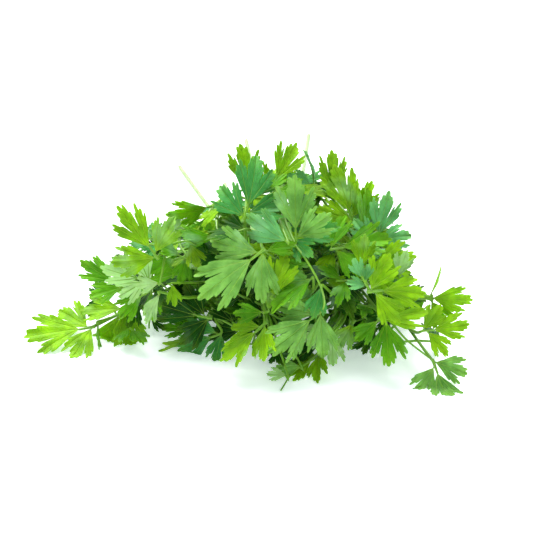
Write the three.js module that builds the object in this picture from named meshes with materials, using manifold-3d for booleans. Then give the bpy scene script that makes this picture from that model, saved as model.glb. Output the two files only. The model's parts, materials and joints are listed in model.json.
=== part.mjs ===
// Bunch of cut flat-leaf parsley lying in a loose pile, leaf end to the front and bare stems to the back.
// Millimetres, +Z up, +Y away from the leaf end. The pile rests on z = 0.
// Each frond is one grown piece: a stalk, the branches on it and the cut leaflets on their ends.
import * as THREE from 'three';
import Module from 'manifold-3d';

const wasm = await Module();
wasm.setup();

// Driving dimensions of the plant
const BLADE_THICKNESS = 0.7;
const BLADE_ROOT_HALF_WIDTH = 0.5;
const BLADE_ROOT_SINK = 0.4;
const BLADE_NECK = 2.6;
const STALK_BUTT_RADIUS = 1.5;
const STALK_TIP_RADIUS = 0.95;
const BUTT_HEIGHT = 1.05;
const BRANCH_FOOT_RADIUS = 1.05;
const BRANCH_TIP_RADIUS = 0.95;
const BRANCH_LEAD = 0.22;
const LEAFLET_PITCH = 2.4;
const END_STEM_SHARE = 0.1;
const END_STEM_LAP = 1.6;

// Natural variety of the leaflets: angles in radians, droop and fold as shares of the length and width
const SIDE_LEAFLET_SHARE = [0.72, 0.88];
const HALF_SPREAD = [0.5, 0.62];
const SPREAD_JITTER = 0.1;
const AIM_JITTER = 0.07;
const ROLL_JITTER = 0.3;
const LEAN_JITTER = [-0.35, 0.25];
const DROOP = [0.04, 0.2];
const FOLD = [0.05, 0.3];

// Where the stalks run side by side behind the leaves, in rows one above the other
const WAIST_X = 6;
const WAIST_Y = 142;
const WAIST_Z = 1.0;
const WAIST_SPACING = 5.9;
const WAIST_ROW_HEIGHT = 4.2;
const ROW_STAGGER = 1 / 3;
const LEAD_SHARE = 0.4;
const LEAD_RISE = 2.5;
const WAIST_SHARE = 0.4;

// Fan of the bare stalks behind the waist, in degrees off +Y
const FAN_MIDDLE = -4;
const FAN_STEP = 5.3;

// Middle of the pile in the table's coordinates, moved to the part's origin
const BUNCH_CENTRE = new THREE.Vector3(-12.8, 169.1, 0);

// Fineness of the round stems, and of the joined surface
const STALK_SIDES = 5;
const STALK_STEPS = 10;
const BRANCH_SIDES = 4;
const BRANCH_STEPS = 2;
const SHORTEST_EDGE = 0.03;

// The clock directions below are read from the front, looking down at the pile at this angle
const READING_ELEVATION = THREE.MathUtils.degToRad(29);
const VIEW_RIGHT = new THREE.Vector3(1, 0, 0);
const VIEW_UP = new THREE.Vector3(0, Math.sin(READING_ELEVATION), Math.cos(READING_ELEVATION));
const VIEW_NEAR = new THREE.Vector3(0, -Math.cos(READING_ELEVATION), Math.sin(READING_ELEVATION));
const SKY = new THREE.Vector3(0, 0, 1);

// Half outline of a leaflet, wing to tip: share of the half spread off the midrib, share of the length
const HALF_OUTLINE = [
  [1.0, 0.56],
  [0.64, 0.84],
  [0.4, 0.46],
  [0.2, 0.88],
];
const SMALL_HALF_OUTLINE = [
  [1.0, 0.56],
  [0.62, 0.84],
  [0.34, 0.48],
];
const SMALL_LEAFLET = 25;

// Fronds from left to right. A stalk runs from its cut end, so far behind
// the waist, through its slot there and a bend to the hub of its first spray.
// A spray is: place on the stalk from the waist, 0, to its end, 1, hub x, y, z, clock direction and roll
// in degrees, leaflet length, number of leaflets, and the degrees between them
const FRONDS = [
  {
    name: 'frond_left_far',
    bare: 158,
    slot: [-3, 0],
    bend: [-50, 90, 16],
    sprays: [
      [1, -103, 48, 9, 190, 50, 32, 3, 54],
      [0.94, -100, 49, 12, 250, 50, 17, 1, 0],
    ],
  },
  {
    name: 'frond_left_low',
    bare: 74,
    slot: [-2, 0],
    bend: [-42, 92, 22],
    sprays: [
      [1, -83, 54, 20, 228, 10, 30, 3, 52],
    ],
  },
  {
    name: 'frond_left_mid',
    bare: 88,
    slot: [-3, 1],
    bend: [-44, 88, 42],
    sprays: [
      [1, -83, 44, 38, 150, 20, 22, 3, 55],
      [0.93, -67, 38, 45, 160, 160, 22, 3, 53],
      [0.86, -67, 42, 38, 215, 0, 18, 3, 54],
    ],
  },
  {
    name: 'frond_left_high',
    bare: 121,
    slot: [-2, 1],
    bend: [-36, 84, 64],
    sprays: [
      [1, -62, 37, 62, 125, 0, 28, 3, 62],
      [0.86, -46, 43, 60, 200, 0, 18, 3, 53],
    ],
  },
  {
    name: 'frond_left_top',
    bare: 96,
    slot: [-2, 2],
    bend: [-16, 90, 74],
    sprays: [
      [1, -33, 65, 80, 190, -30, 23, 1, 0],
      [0.97, -31, 62, 78, -10, 0, 16, 1, 0],
      [0.95, -33, 60, 78, 250, 0, 20, 1, 0],
      [0.86, -27, 41, 72, 172, -50, 23, 1, 0],
      [0.82, -49, 38, 50, 170, 0, 20, 1, 0],
    ],
  },
  {
    name: 'frond_left_inner',
    bare: 66,
    slot: [-1, 0],
    bend: [-22, 92, 26],
    sprays: [
      [1, -33, 37, 22, 170, 0, 27, 3, 50],
      [0.93, -39, 44, 6, 195, -50, 25, 1, 0],
      [0.86, -60, 29, 44, 240, 60, 18, 1, 0],
      [0.95, -26, 34, 14, 205, 0, 22, 3, 53],
    ],
  },
  {
    name: 'frond_top_left',
    bare: 199,
    slot: [-1, 2],
    bend: [-10, 92, 78],
    sprays: [
      [1, -12, 39, 86, 75, 0, 29, 3, 54],
      [0.86, -11, 71, 88, 98, 0, 24, 1, 0],
      [0.92, -12, 42, 64, 185, 0, 27, 3, 54],
    ],
  },
  {
    name: 'frond_centre_broad',
    bare: 98,
    slot: [-1, 1],
    bend: [-6, 80, 60],
    sprays: [
      [1, -2, 23, 74, 218, 0, 36, 3, 54],
      [0.97, -1, 29, 70, -35, 0, 22, 3, 54],
    ],
  },
  {
    name: 'frond_top_mid',
    bare: 82,
    slot: [0, 2],
    bend: [8, 92, 76],
    sprays: [
      [1, 3, 71, 88, 65, 0, 24, 3, 54],
      [0.82, 16, 32, 74, 88, 0, 30, 3, 53],
      [0.88, 12, 25, 78, 146, -30, 26, 1, 0],
    ],
  },
  {
    name: 'frond_front',
    bare: 64,
    slot: [0, 0],
    bend: [-2, 84, 34],
    sprays: [
      [1, -1, 14, 32, 222, 55, 25, 3, 52],
      [0.93, 1, 26, 24, 265, 0, 17, 1, 0],
      [0.9, -1, 20, 36, 180, 0, 16, 1, 0],
    ],
  },
  {
    name: 'frond_centre_low',
    bare: 92,
    slot: [0, 1],
    bend: [14, 82, 44],
    sprays: [
      [1, 30, 14, 40, 218, 0, 29, 3, 52],
      [0.94, 3, 12, 50, 75, 0, 24, 1, 0],
      [0.92, 26, 21, 58, 215, 50, 28, 1, 0],
      [0.88, 31, 22, 8, 222, 60, 24, 3, 52],
      [0.84, 34, 26, 14, 195, 0, 26, 1, 0],
    ],
  },
  {
    name: 'frond_top_right',
    bare: 209,
    slot: [1, 2],
    bend: [38, 88, 68],
    sprays: [
      [1, 38, 68, 86, 88, 0, 24, 1, 0],
      [0.9, 28, 75, 88, 85, 70, 20, 1, 0],
      [0.92, 28, 75, 86, 155, 0, 17, 1, 0],
      [0.84, 50, 57, 74, 108, 0, 27, 3, 54],
    ],
  },
  {
    name: 'frond_front_right',
    bare: 70,
    slot: [1, 0],
    bend: [30, 86, 36],
    sprays: [
      [1, 50, 29, 24, 240, 0, 17, 1, 0],
      [0.95, 37, 20, 22, 275, 0, 18, 1, 0],
      [0.92, 37, 20, 24, 200, 0, 17, 1, 0],
      [0.86, 31, 16, 56, 250, 0, 18, 1, 0],
      [0.82, 40, 41, 56, 270, 0, 26, 3, 54],
    ],
  },
  {
    name: 'frond_right_top',
    bare: 104,
    slot: [1, 1],
    bend: [40, 84, 58],
    sprays: [
      [1, 62, 43, 66, 75, 0, 24, 3, 55],
      [0.9, 36, 35, 68, 10, -20, 27, 3, 53],
      [0.95, 54, 50, 72, 75, 60, 23, 1, 0],
    ],
  },
  {
    name: 'frond_right_high',
    bare: 84,
    slot: [2, 2],
    bend: [46, 80, 56],
    sprays: [
      [1, 53, 28, 60, 15, 0, 25, 3, 54],
      [0.86, 73, 24, 56, 60, 0, 16, 1, 0],
    ],
  },
  {
    name: 'frond_right_mid',
    bare: 94,
    slot: [2, 1],
    bend: [50, 76, 46],
    sprays: [
      [1, 57, 12, 54, 5, 0, 25, 3, 54],
      [0.85, 93, 29, 40, -5, 0, 22, 1, 0],
      [0.87, 93, 29, 39, -60, 0, 18, 1, 0],
      [0.89, 93, 29, 41, 80, 70, 16, 1, 0],
    ],
  },
  {
    name: 'frond_right_low',
    bare: 68,
    slot: [2, 0],
    bend: [48, 80, 26],
    sprays: [
      [1, 67, 15, 34, 275, 0, 25, 1, 0],
      [0.95, 62, 10, 38, 8, 0, 26, 1, 0],
      [0.92, 63, 12, 36, 222, 0, 17, 1, 0],
      [0.86, 63, 36, 18, 250, 0, 16, 1, 0],
    ],
  },
  {
    name: 'frond_right_far',
    bare: 102,
    slot: [3, 0],
    bend: [64, 72, 24],
    sprays: [
      [1, 94, 6, 12, 290, 0, 24, 3, 50],
      [0.88, 88, 16, 26, 5, 0, 20, 3, 54],
    ],
  },
];

// Sprays inside and behind the pile, one on each stalk, to its left and right in turn
const INNER_PLACE = 0.56;
const INNER_REACH = [7, 17];
const INNER_LIFT = [-8, 6];
const INNER_BACK = [-0.8, 0.5];
const INNER_RISE = [-0.5, 0.2];
const INNER_LENGTH = [20, 26];
const INNER_SPREAD = 56;

// A stem or leaflet that would meet another frond is moved off it by tries that spiral outwards
const ROOM_BETWEEN_FRONDS = 0.35;
const SPIRAL_ANGLE = 2.4;
const STEM_TRIES = 120;
const STEM_STEP = 2.4;
const STEM_LEAD_SHARE = 0.4;
const LEAFLET_TRIES = 48;
const LEAN_STEP = THREE.MathUtils.degToRad(6);
const ROLL_STEP = THREE.MathUtils.degToRad(9);
const SWING_STEP = THREE.MathUtils.degToRad(3);

// Series of draws for the natural variety, and the first seed of the leaflets' own series
const DRAW_SPREAD = 2654435761;
const DRAW_FACTOR = 1664525;
const DRAW_STEP = 1013904223;
const LEAFLET_SEED = 1000;

// Colours of the leaves, taken in turn
const LEAF_GREENS = [0x5f9e2a, 0x3f8230, 0x77b338];
const LEAF_ROUGHNESS = 0.6;

// Repeatable draws between a low and a high value, by a linear congruential series
function draws(seed) {
  let state = Math.imul(seed, DRAW_SPREAD) >>> 0;
  return (low, high) => {
    state = (Math.imul(state, DRAW_FACTOR) + DRAW_STEP) >>> 0;
    return low + ((high - low) * state) / 2 ** 32;
  };
}

// Sideways and upward shift of a stem's middle at one try
function stemShift(attempt) {
  const reach = STEM_STEP * Math.sqrt(attempt);
  const angle = SPIRAL_ANGLE * attempt;
  return new THREE.Vector3(reach * Math.cos(angle), 0, reach * Math.abs(Math.sin(angle)));
}

// First try that passes a test, or none
function firstClear(tries, passes) {
  for (let attempt = 0; attempt < tries; attempt += 1) {
    if (passes(attempt)) return attempt;
  }
  return null;
}

// Closed geometry from points and triangles that share their corners
function closedGeometry(points, triangles) {
  const geometry = new THREE.BufferGeometry();
  geometry.setFromPoints(points);
  geometry.setIndex(triangles);
  geometry.computeBoundingBox();
  return geometry;
}

// Ring of points round a stem's middle line, a flat side down, kept above the surface that the pile lies on
function stemRing(centre, side, over, radius, sides) {
  const ring = [];
  for (let k = 0; k < sides; k += 1) {
    const angle = ((k + 0.5) / sides) * 2 * Math.PI - Math.PI / 2;
    const point = centre.clone();
    point.addScaledVector(side, radius * Math.cos(angle));
    point.addScaledVector(over, radius * Math.sin(angle));
    point.z = Math.max(point.z, 0);
    ring.push(point);
  }
  return ring;
}

// Tapered round stem through a list of centres, the ring frame carried along it without a twist
function stemGeometry(centres, radii, sides) {
  const last = centres.length - 1;
  const start = centres[1].clone().sub(centres[0]).normalize();
  const side = Math.abs(start.x) > Math.SQRT1_2 ? new THREE.Vector3(0, 1, 0) : VIEW_RIGHT.clone();
  const points = centres.flatMap((centre, i) => {
    const along = centres[Math.min(i + 1, last)].clone().sub(centres[Math.max(i - 1, 0)]).normalize();
    side.addScaledVector(along, -side.dot(along)).normalize();
    return stemRing(centre, side, along.clone().cross(side), radii[i], sides);
  });
  const triangles = [];
  for (let i = 0; i < last; i += 1) {
    for (let k = 0; k < sides; k += 1) {
      const a = i * sides + k;
      const b = i * sides + ((k + 1) % sides);
      triangles.push(a, b, b + sides, a, b + sides, a + sides);
    }
  }
  const end = last * sides;
  for (let k = 1; k < sides - 1; k += 1) {
    triangles.push(0, k + 1, k, end, end + k, end + k + 1);
  }
  return closedGeometry(points, triangles);
}

// Outline of a leaflet as angle and reach from its neck, right wing to left wing
function leafletOutline(leaflet) {
  const half = leaflet.length < SMALL_LEAFLET ? SMALL_HALF_OUTLINE : HALF_OUTLINE;
  const right = half.map(([turn, reach]) => [-turn * leaflet.halfSpread, reach]);
  const left = half.map(([turn, reach]) => [turn * leaflet.halfSpread, reach]).reverse();
  return [...right, [0, 1], ...left];
}

// Directions of a leaflet at one try: along its midrib, across it, and out of its upper face
function leafletAxes(leaflet, attempt) {
  const reach = Math.sqrt(attempt);
  const angle = SPIRAL_ANGLE * attempt;
  const along = leaflet.along.clone();
  const face = leaflet.face.clone();
  along.applyAxisAngle(face, SWING_STEP * reach * Math.cos(2 * angle));
  const side = face.clone().cross(along);
  along.applyAxisAngle(side, -LEAN_STEP * reach * Math.cos(angle));
  face.applyAxisAngle(side, -LEAN_STEP * reach * Math.cos(angle));
  face.applyAxisAngle(along, ROLL_STEP * reach * Math.sin(angle));
  return { along, side: face.clone().cross(along), face };
}

// Middle surface of a leaflet: neck corners and outline, arched along the midrib and folded across it
function leafletMiddle(leaflet, extra) {
  const neckHalf = BLADE_ROOT_HALF_WIDTH + extra;
  const neck = [
    [BLADE_NECK, -neckHalf, 0],
    [BLADE_NECK, neckHalf, 0],
  ];
  const rim = leafletOutline(leaflet).map(([angle, reach]) => {
    const distance = reach * leaflet.length + extra;
    const across = distance * Math.sin(angle);
    const rise = leaflet.fold * Math.abs(across) - leaflet.droop * reach * reach * leaflet.length;
    return [BLADE_NECK + distance * Math.cos(angle), across, rise];
  });
  return [...neck, ...rim];
}

// Two faces of a blade, alike point for point. What would sink below the surface lies flat on it
function bladeFaces(leaflet, attempt, middle, half) {
  const { along, side, face } = leafletAxes(leaflet, attempt);
  const foot = leaflet.root.clone().addScaledVector(along, -BLADE_ROOT_SINK);
  const upper = [];
  const lower = [];
  middle.forEach(([forward, across, rise]) => {
    const point = foot.clone().addScaledVector(along, forward).addScaledVector(side, across);
    const top = point.clone().addScaledVector(face, rise + half);
    const bottom = point.addScaledVector(face, rise - half);
    const lift = Math.max(0, -Math.min(top.z, bottom.z));
    top.z += lift;
    bottom.z += lift;
    upper.push(top);
    lower.push(bottom);
  });
  return [...upper, ...lower];
}

// Closed blade from a fan of triangles on both faces and a wall along the rim
function bladeGeometry(points, fan, rim) {
  const count = points.length / 2;
  const triangles = [];
  fan.forEach(([a, b, c]) => triangles.push(a, b, c, a + count, c + count, b + count));
  rim.forEach((a, k) => {
    const b = rim[(k + 1) % rim.length];
    triangles.push(a, a + count, b + count, a, b + count, b);
  });
  return closedGeometry(points, triangles);
}

// Fan over a leaflet's outline from its two neck corners, points 0 and 1
function outlineFan(count) {
  const tip = (count + 1) / 2;
  const fan = [[0, tip, 1]];
  const rim = [0];
  for (let i = 2; i < count; i += 1) {
    if (i < count - 1) fan.push([i < tip ? 0 : 1, i, i + 1]);
    rim.push(i);
  }
  rim.push(1);
  return { fan, rim };
}

// Cut blade with the narrow root that grows from the stem
function leafletGeometry(leaflet, attempt) {
  const middle = leafletMiddle(leaflet, 0);
  const { fan, rim } = outlineFan(middle.length);
  const left = middle.length;
  const right = left + 1;
  middle.push([0, BLADE_ROOT_HALF_WIDTH, 0], [0, -BLADE_ROOT_HALF_WIDTH, 0]);
  fan.push([right, 0, 1], [right, 1, left]);
  rim.push(left, right);
  return bladeGeometry(bladeFaces(leaflet, attempt, middle, BLADE_THICKNESS / 2), fan, rim);
}

// Blade beyond its root, grown all round by the room that it needs
function leafletRoom(leaflet, attempt) {
  const middle = leafletMiddle(leaflet, ROOM_BETWEEN_FRONDS);
  const { fan, rim } = outlineFan(middle.length);
  const half = BLADE_THICKNESS / 2 + ROOM_BETWEEN_FRONDS;
  return bladeGeometry(bladeFaces(leaflet, attempt, middle, half), fan, rim);
}

// Curve of a stalk: cut end on the surface, slot in the waist, bend and hub, smoothly joined
function stalkCurve(frond, attempt) {
  const [, x, y, z] = frond.sprays[0];
  const [column, row] = frond.slot;
  const shift = stemShift(attempt);
  const across = column + row * ROW_STAGGER;
  const slot = new THREE.Vector3(WAIST_X, WAIST_Y, WAIST_Z);
  slot.x += across * WAIST_SPACING;
  slot.z += row * WAIST_ROW_HEIGHT;
  const fan = THREE.MathUtils.degToRad(FAN_MIDDLE + across * FAN_STEP);
  const butt = new THREE.Vector3(slot.x, slot.y, BUTT_HEIGHT);
  butt.x += frond.bare * Math.sin(fan);
  butt.y += frond.bare * Math.cos(fan);
  const back = butt.clone().lerp(slot, 0.5);
  const bend = new THREE.Vector3(...frond.bend).add(shift);
  const lead = slot.clone().lerp(bend, LEAD_SHARE);
  lead.z = slot.z + LEAD_RISE * (row + 1);
  lead.addScaledVector(shift, STEM_LEAD_SHARE);
  const guides = [butt, back, slot, lead, bend, new THREE.Vector3(x, y, z)];
  return new THREE.CatmullRomCurve3(guides, false, 'catmullrom', 0.5);
}

// Point on a stalk's straight-sided middle line
function stalkPoint(curve, share) {
  const step = Math.min(Math.floor(share * STALK_STEPS), STALK_STEPS - 1);
  const from = curve.getPoint(step / STALK_STEPS);
  const to = curve.getPoint((step + 1) / STALK_STEPS);
  return from.lerp(to, share * STALK_STEPS - step);
}

function stalkGeometry(curve, extra) {
  const centres = [];
  const radii = [];
  for (let i = 0; i <= STALK_STEPS; i += 1) {
    const share = i / STALK_STEPS;
    centres.push(curve.getPoint(share));
    radii.push(THREE.MathUtils.lerp(STALK_BUTT_RADIUS, STALK_TIP_RADIUS, share) + extra);
  }
  return stemGeometry(centres, radii, STALK_SIDES);
}

// Length of stem from the hub, with its side leaflets, to the foot of the end leaflet
function endStem(spray) {
  return spray.leaflets > 1 ? END_STEM_SHARE * spray.length + 2 * LEAFLET_PITCH : END_STEM_LAP;
}

// Middle line of a branch from the stalk to the hub, empty where the stalk itself ends there
function branchCentres(spray, attempt) {
  if (spray.share === 1) return [spray.hub.clone().addScaledVector(spray.along, -END_STEM_LAP)];
  const foot = stalkPoint(spray.curve, spray.share);
  const middle = foot.clone().lerp(spray.hub, 0.5).add(stemShift(attempt));
  const lead = BRANCH_LEAD * spray.hub.distanceTo(foot);
  middle.addScaledVector(spray.curve.getTangent(spray.share), lead);
  const arc = new THREE.QuadraticBezierCurve3(foot, middle, spray.hub);
  return arc.getPoints(BRANCH_STEPS);
}

// Branch to a spray's hub and on to the foot of its end leaflet
function branchGeometry(spray, attempt, extra) {
  const centres = branchCentres(spray, attempt);
  centres.push(spray.hub.clone().addScaledVector(spray.along, endStem(spray)));
  const radii = centres.map((_, i) => {
    const share = Math.min(i / BRANCH_STEPS, 1);
    return THREE.MathUtils.lerp(BRANCH_FOOT_RADIUS, BRANCH_TIP_RADIUS, share) + extra;
  });
  return stemGeometry(centres, radii, BRANCH_SIDES);
}

// Curve share of a place given from the waist, 0, to the stalk's end, 1
function stalkShare(place) {
  return WAIST_SHARE + (1 - WAIST_SHARE) * place;
}

// Spray from a row of the table, its blades turned to the front and then rolled about the clock direction
function shownSpray([place, x, y, z, clock, roll, length, leaflets, spread]) {
  const angle = THREE.MathUtils.degToRad(clock);
  const along = VIEW_RIGHT.clone().multiplyScalar(Math.cos(angle));
  along.addScaledVector(VIEW_UP, Math.sin(angle));
  const face = VIEW_NEAR.clone().applyAxisAngle(along, THREE.MathUtils.degToRad(roll));
  return {
    share: stalkShare(place),
    hub: new THREE.Vector3(x, y, z),
    along,
    face,
    length,
    leaflets,
    spread: THREE.MathUtils.degToRad(spread),
  };
}

// Spray beside the stalk inside the pile, its blades turned up and outwards
function innerSpray(curve, index) {
  const draw = draws(index);
  const share = stalkShare(INNER_PLACE);
  const stem = curve.getTangent(share);
  const side = new THREE.Vector3(stem.y, -stem.x, 0).normalize();
  if (index % 2 === 0) side.negate();
  const hub = curve.getPoint(share).addScaledVector(side, draw(...INNER_REACH));
  hub.z += draw(...INNER_LIFT);
  const along = side.clone().addScaledVector(stem, draw(...INNER_BACK));
  along.addScaledVector(SKY, draw(...INNER_RISE)).normalize();
  const face = SKY.clone().addScaledVector(along, -along.z).normalize();
  const length = draw(...INNER_LENGTH);
  const spread = THREE.MathUtils.degToRad(INNER_SPREAD);
  return { share, hub, along, face, length, leaflets: 3, spread };
}

// Leaflets of one spray: the end one on its short stem, then one to each side of the hub
function sprayLeaflets(spray) {
  const draw = draws(LEAFLET_SEED + spray.index);
  const hands = [0, 1, -1].slice(0, spray.leaflets);
  return hands.map((hand) => {
    const swing = hand * (spray.spread + draw(-SPREAD_JITTER, SPREAD_JITTER));
    const aim = swing + draw(-AIM_JITTER, AIM_JITTER);
    const along = spray.along.clone().applyAxisAngle(spray.face, aim);
    const face = spray.face.clone().applyAxisAngle(along, draw(-ROLL_JITTER, ROLL_JITTER));
    const side = face.clone().cross(along);
    const lean = draw(...LEAN_JITTER);
    along.applyAxisAngle(side, lean);
    face.applyAxisAngle(side, lean);
    const footing = [0, endStem(spray) - END_STEM_LAP, LEAFLET_PITCH][1 - hand];
    return {
      root: spray.hub.clone().addScaledVector(spray.along, footing),
      along,
      face,
      length: spray.length * (hand === 0 ? 1 : draw(...SIDE_LEAFLET_SHARE)),
      halfSpread: draw(...HALF_SPREAD),
      droop: draw(...DROOP),
      fold: draw(...FOLD),
    };
  });
}

// Solid of a closed geometry
function solidOf(geometry) {
  const vertProperties = new Float32Array(geometry.attributes.position.array);
  const triVerts = new Uint32Array(geometry.index.array);
  return new wasm.Manifold(new wasm.Mesh({ numProp: 3, vertProperties, triVerts }));
}

// Every stem and leaflet placed so far, with the frond and the spray that it grows in
const placed = [];

function grow(owner, stem, geometry) {
  const { frond, index } = owner;
  placed.push({ frond, index, stem, box: geometry.boundingBox, solid: solidOf(geometry) });
}

// Whether a grown shape meets a placed piece that it has to stay off
function meets(geometry, staysOff) {
  const probe = solidOf(geometry);
  const found = placed.some((piece) => {
    if (!staysOff(piece) || !piece.box.intersectsBox(geometry.boundingBox)) return false;
    const common = probe.intersect(piece.solid);
    const touching = !common.isEmpty();
    common.delete();
    return touching;
  });
  probe.delete();
  return found;
}

// Stalk of one frond, laid clear of the stalks before it
function growStalk(frond) {
  const attempt = firstClear(STEM_TRIES, (k) => {
    const room = stalkGeometry(stalkCurve(frond, k), ROOM_BETWEEN_FRONDS);
    return !meets(room, () => true);
  });
  if (attempt === null) throw new Error(frond.name + ' has no way through the bunch');
  const curve = stalkCurve(frond, attempt);
  grow({ frond: frond.name, index: null }, true, stalkGeometry(curve, 0));
  return curve;
}

// Branch of one spray. A spray that finds no way to its hub is left off
function growBranch(spray) {
  const attempt = firstClear(STEM_TRIES, (k) => {
    const room = branchGeometry(spray, k, ROOM_BETWEEN_FRONDS);
    return !meets(room, (piece) => piece.frond !== spray.frond);
  });
  if (attempt === null) return false;
  grow(spray, true, branchGeometry(spray, attempt, 0));
  return true;
}

// Leaflet clear of everything but its own stem, or at least of the other fronds
function growLeaflet(spray, leaflet) {
  const clearOf = (staysOff) => firstClear(LEAFLET_TRIES, (k) => !meets(leafletRoom(leaflet, k), staysOff));
  const otherFrond = (piece) => piece.frond !== spray.frond;
  const ownStem = (piece) => piece.stem && (piece.index === spray.index || spray.share === 1);
  const attempt = clearOf((piece) => otherFrond(piece) || !ownStem(piece)) ?? clearOf(otherFrond);
  if (attempt !== null) grow(spray, false, leafletGeometry(leaflet, attempt));
}

// Frond joined into one body, without loose scraps or sealed hollows
function frondMesh(name, shade) {
  const solids = placed.filter((piece) => piece.frond === name).map((piece) => piece.solid);
  const joined = solids.reduce((sum, solid) => sum.add(solid)).simplify(SHORTEST_EDGE);
  const bodies = joined.decompose();
  const body = bodies.reduce((largest, next) => (next.volume() > largest.volume() ? next : largest));
  const { vertProperties, triVerts } = body.getMesh();
  const geometry = new THREE.BufferGeometry();
  geometry.setAttribute('position', new THREE.BufferAttribute(vertProperties, 3));
  geometry.setIndex(new THREE.BufferAttribute(triVerts, 1));
  geometry.computeVertexNormals();
  const look = { color: shade, roughness: LEAF_ROUGHNESS, metalness: 0 };
  const material = new THREE.MeshStandardMaterial(look);
  const mesh = new THREE.Mesh(geometry, material);
  mesh.name = name;
  mesh.position.copy(BUNCH_CENTRE).negate();
  return mesh;
}

// Stalks first, then every branch, then every leaflet, so that stems keep their way
const sprays = [];
FRONDS.forEach((frond) => {
  const curve = growStalk(frond);
  const own = [...frond.sprays.map(shownSpray), innerSpray(curve, sprays.length)];
  own.forEach((spray) => sprays.push({ ...spray, frond: frond.name, curve, index: sprays.length }));
});
const grown = sprays.filter(growBranch);
grown.forEach((spray) => sprayLeaflets(spray).forEach((leaflet) => growLeaflet(spray, leaflet)));

const group = new THREE.Group();
FRONDS.forEach(({ name }, i) => group.add(frondMesh(name, LEAF_GREENS[i % LEAF_GREENS.length])));

export default group;
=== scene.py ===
"""Bunch of cut flat-leaf parsley: toothed leaflets, ribbed stems and a plain pale studio."""

import functools
import json
import math
from dataclasses import dataclass, field

import bpy
import numpy as np
from bpy.props import FloatProperty, FloatVectorProperty, IntProperty, PointerProperty
from mathutils import Matrix, Quaternion, Vector, kdtree
from mathutils.bvhtree import BVHTree

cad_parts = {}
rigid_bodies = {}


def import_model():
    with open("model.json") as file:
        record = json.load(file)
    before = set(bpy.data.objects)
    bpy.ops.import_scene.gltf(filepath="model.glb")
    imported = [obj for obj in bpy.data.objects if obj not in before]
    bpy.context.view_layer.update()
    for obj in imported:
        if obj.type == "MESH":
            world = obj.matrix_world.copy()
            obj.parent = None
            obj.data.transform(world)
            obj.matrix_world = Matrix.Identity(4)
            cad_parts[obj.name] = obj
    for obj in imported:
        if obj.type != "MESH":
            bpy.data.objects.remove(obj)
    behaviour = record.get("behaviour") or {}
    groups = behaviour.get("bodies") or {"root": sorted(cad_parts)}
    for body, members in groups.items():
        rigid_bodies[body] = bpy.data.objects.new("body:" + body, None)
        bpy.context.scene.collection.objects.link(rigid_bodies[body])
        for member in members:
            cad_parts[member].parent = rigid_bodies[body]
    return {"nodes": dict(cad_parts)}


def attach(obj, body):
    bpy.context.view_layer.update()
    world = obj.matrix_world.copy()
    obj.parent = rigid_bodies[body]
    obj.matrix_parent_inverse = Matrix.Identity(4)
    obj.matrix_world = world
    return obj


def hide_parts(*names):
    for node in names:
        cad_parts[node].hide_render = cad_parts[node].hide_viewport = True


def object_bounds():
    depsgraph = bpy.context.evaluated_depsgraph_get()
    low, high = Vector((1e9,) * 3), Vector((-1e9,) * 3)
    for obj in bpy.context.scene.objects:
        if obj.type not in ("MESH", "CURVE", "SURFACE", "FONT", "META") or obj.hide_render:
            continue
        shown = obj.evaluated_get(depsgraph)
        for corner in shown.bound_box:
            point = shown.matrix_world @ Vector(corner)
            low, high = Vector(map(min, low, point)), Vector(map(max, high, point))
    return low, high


bl_info = {
    "name": "Parsley bunch",
    "version": (1, 0, 0),
    "blender": (4, 5, 0),
    "location": "3D View > Sidebar > Parsley",
    "description": "Grows a bunch of cut flat-leaf parsley with toothed leaflets and ribbed stems",
    "category": "Object",
}

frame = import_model()
CAD_LOW, CAD_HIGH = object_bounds()

MM = 0.001
BODY = "root"

# Sizes of the plant in millimetres, as the solids have them
BLADE_ROOT_HALF_WIDTH = 0.5
BLADE_ROOT_SINK = 0.4
BLADE_NECK = 2.6
BLADE_HALF = 0.35
STALK_BUTT_RADIUS = 1.5
STALK_TIP_RADIUS = 0.95
BUTT_HEIGHT = 1.05
BRANCH_FOOT_RADIUS = 1.05
BRANCH_TIP_RADIUS = 0.95
BRANCH_LEAD = 0.22
LEAFLET_PITCH = 2.4
END_STEM_SHARE = 0.1
END_STEM_LAP = 1.6

# Natural variety of the leaflets: angles in radians, droop and fold as shares of length and width
SIDE_LEAFLET_SHARE = (0.72, 0.88)
HALF_SPREAD = (0.5, 0.62)
SPREAD_JITTER = 0.1
AIM_JITTER = 0.07
ROLL_JITTER = 0.3
LEAN_JITTER = (-0.35, 0.25)
DROOP = (0.04, 0.2)
FOLD = (0.05, 0.3)

# Where the stalks run side by side behind the leaves, and how they fan out behind that waist
WAIST = Vector((6, 142, 1.0))
WAIST_SPACING = 5.9
WAIST_ROW_HEIGHT = 4.2
ROW_STAGGER = 1 / 3
LEAD_SHARE = 0.4
LEAD_RISE = 2.5
WAIST_SHARE = 0.4
FAN_MIDDLE = -4
FAN_STEP = 5.3

# Middle of the pile on the table, which is the part's origin
BUNCH_CENTRE = Vector((-12.8, 169.1, 0))

# Corners of the solids' stems
STALK_SIDES = 5
STALK_STEPS = 10
BRANCH_SIDES = 4
BRANCH_STEPS = 2

# Clock directions of the sprays are read from the front, looking down at this angle
READING_ELEVATION = math.radians(29)
VIEW_RIGHT = Vector((1, 0, 0))
VIEW_UP = Vector((0, math.sin(READING_ELEVATION), math.cos(READING_ELEVATION)))
VIEW_NEAR = Vector((0, -math.cos(READING_ELEVATION), math.sin(READING_ELEVATION)))
SKY = Vector((0, 0, 1))

# Half outline of a leaflet in the solids, wing to tip
HALF_OUTLINE = ((1.0, 0.56), (0.64, 0.84), (0.4, 0.46), (0.2, 0.88))
SMALL_HALF_OUTLINE = ((1.0, 0.56), (0.62, 0.84), (0.34, 0.48))
SMALL_LEAFLET = 25

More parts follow.
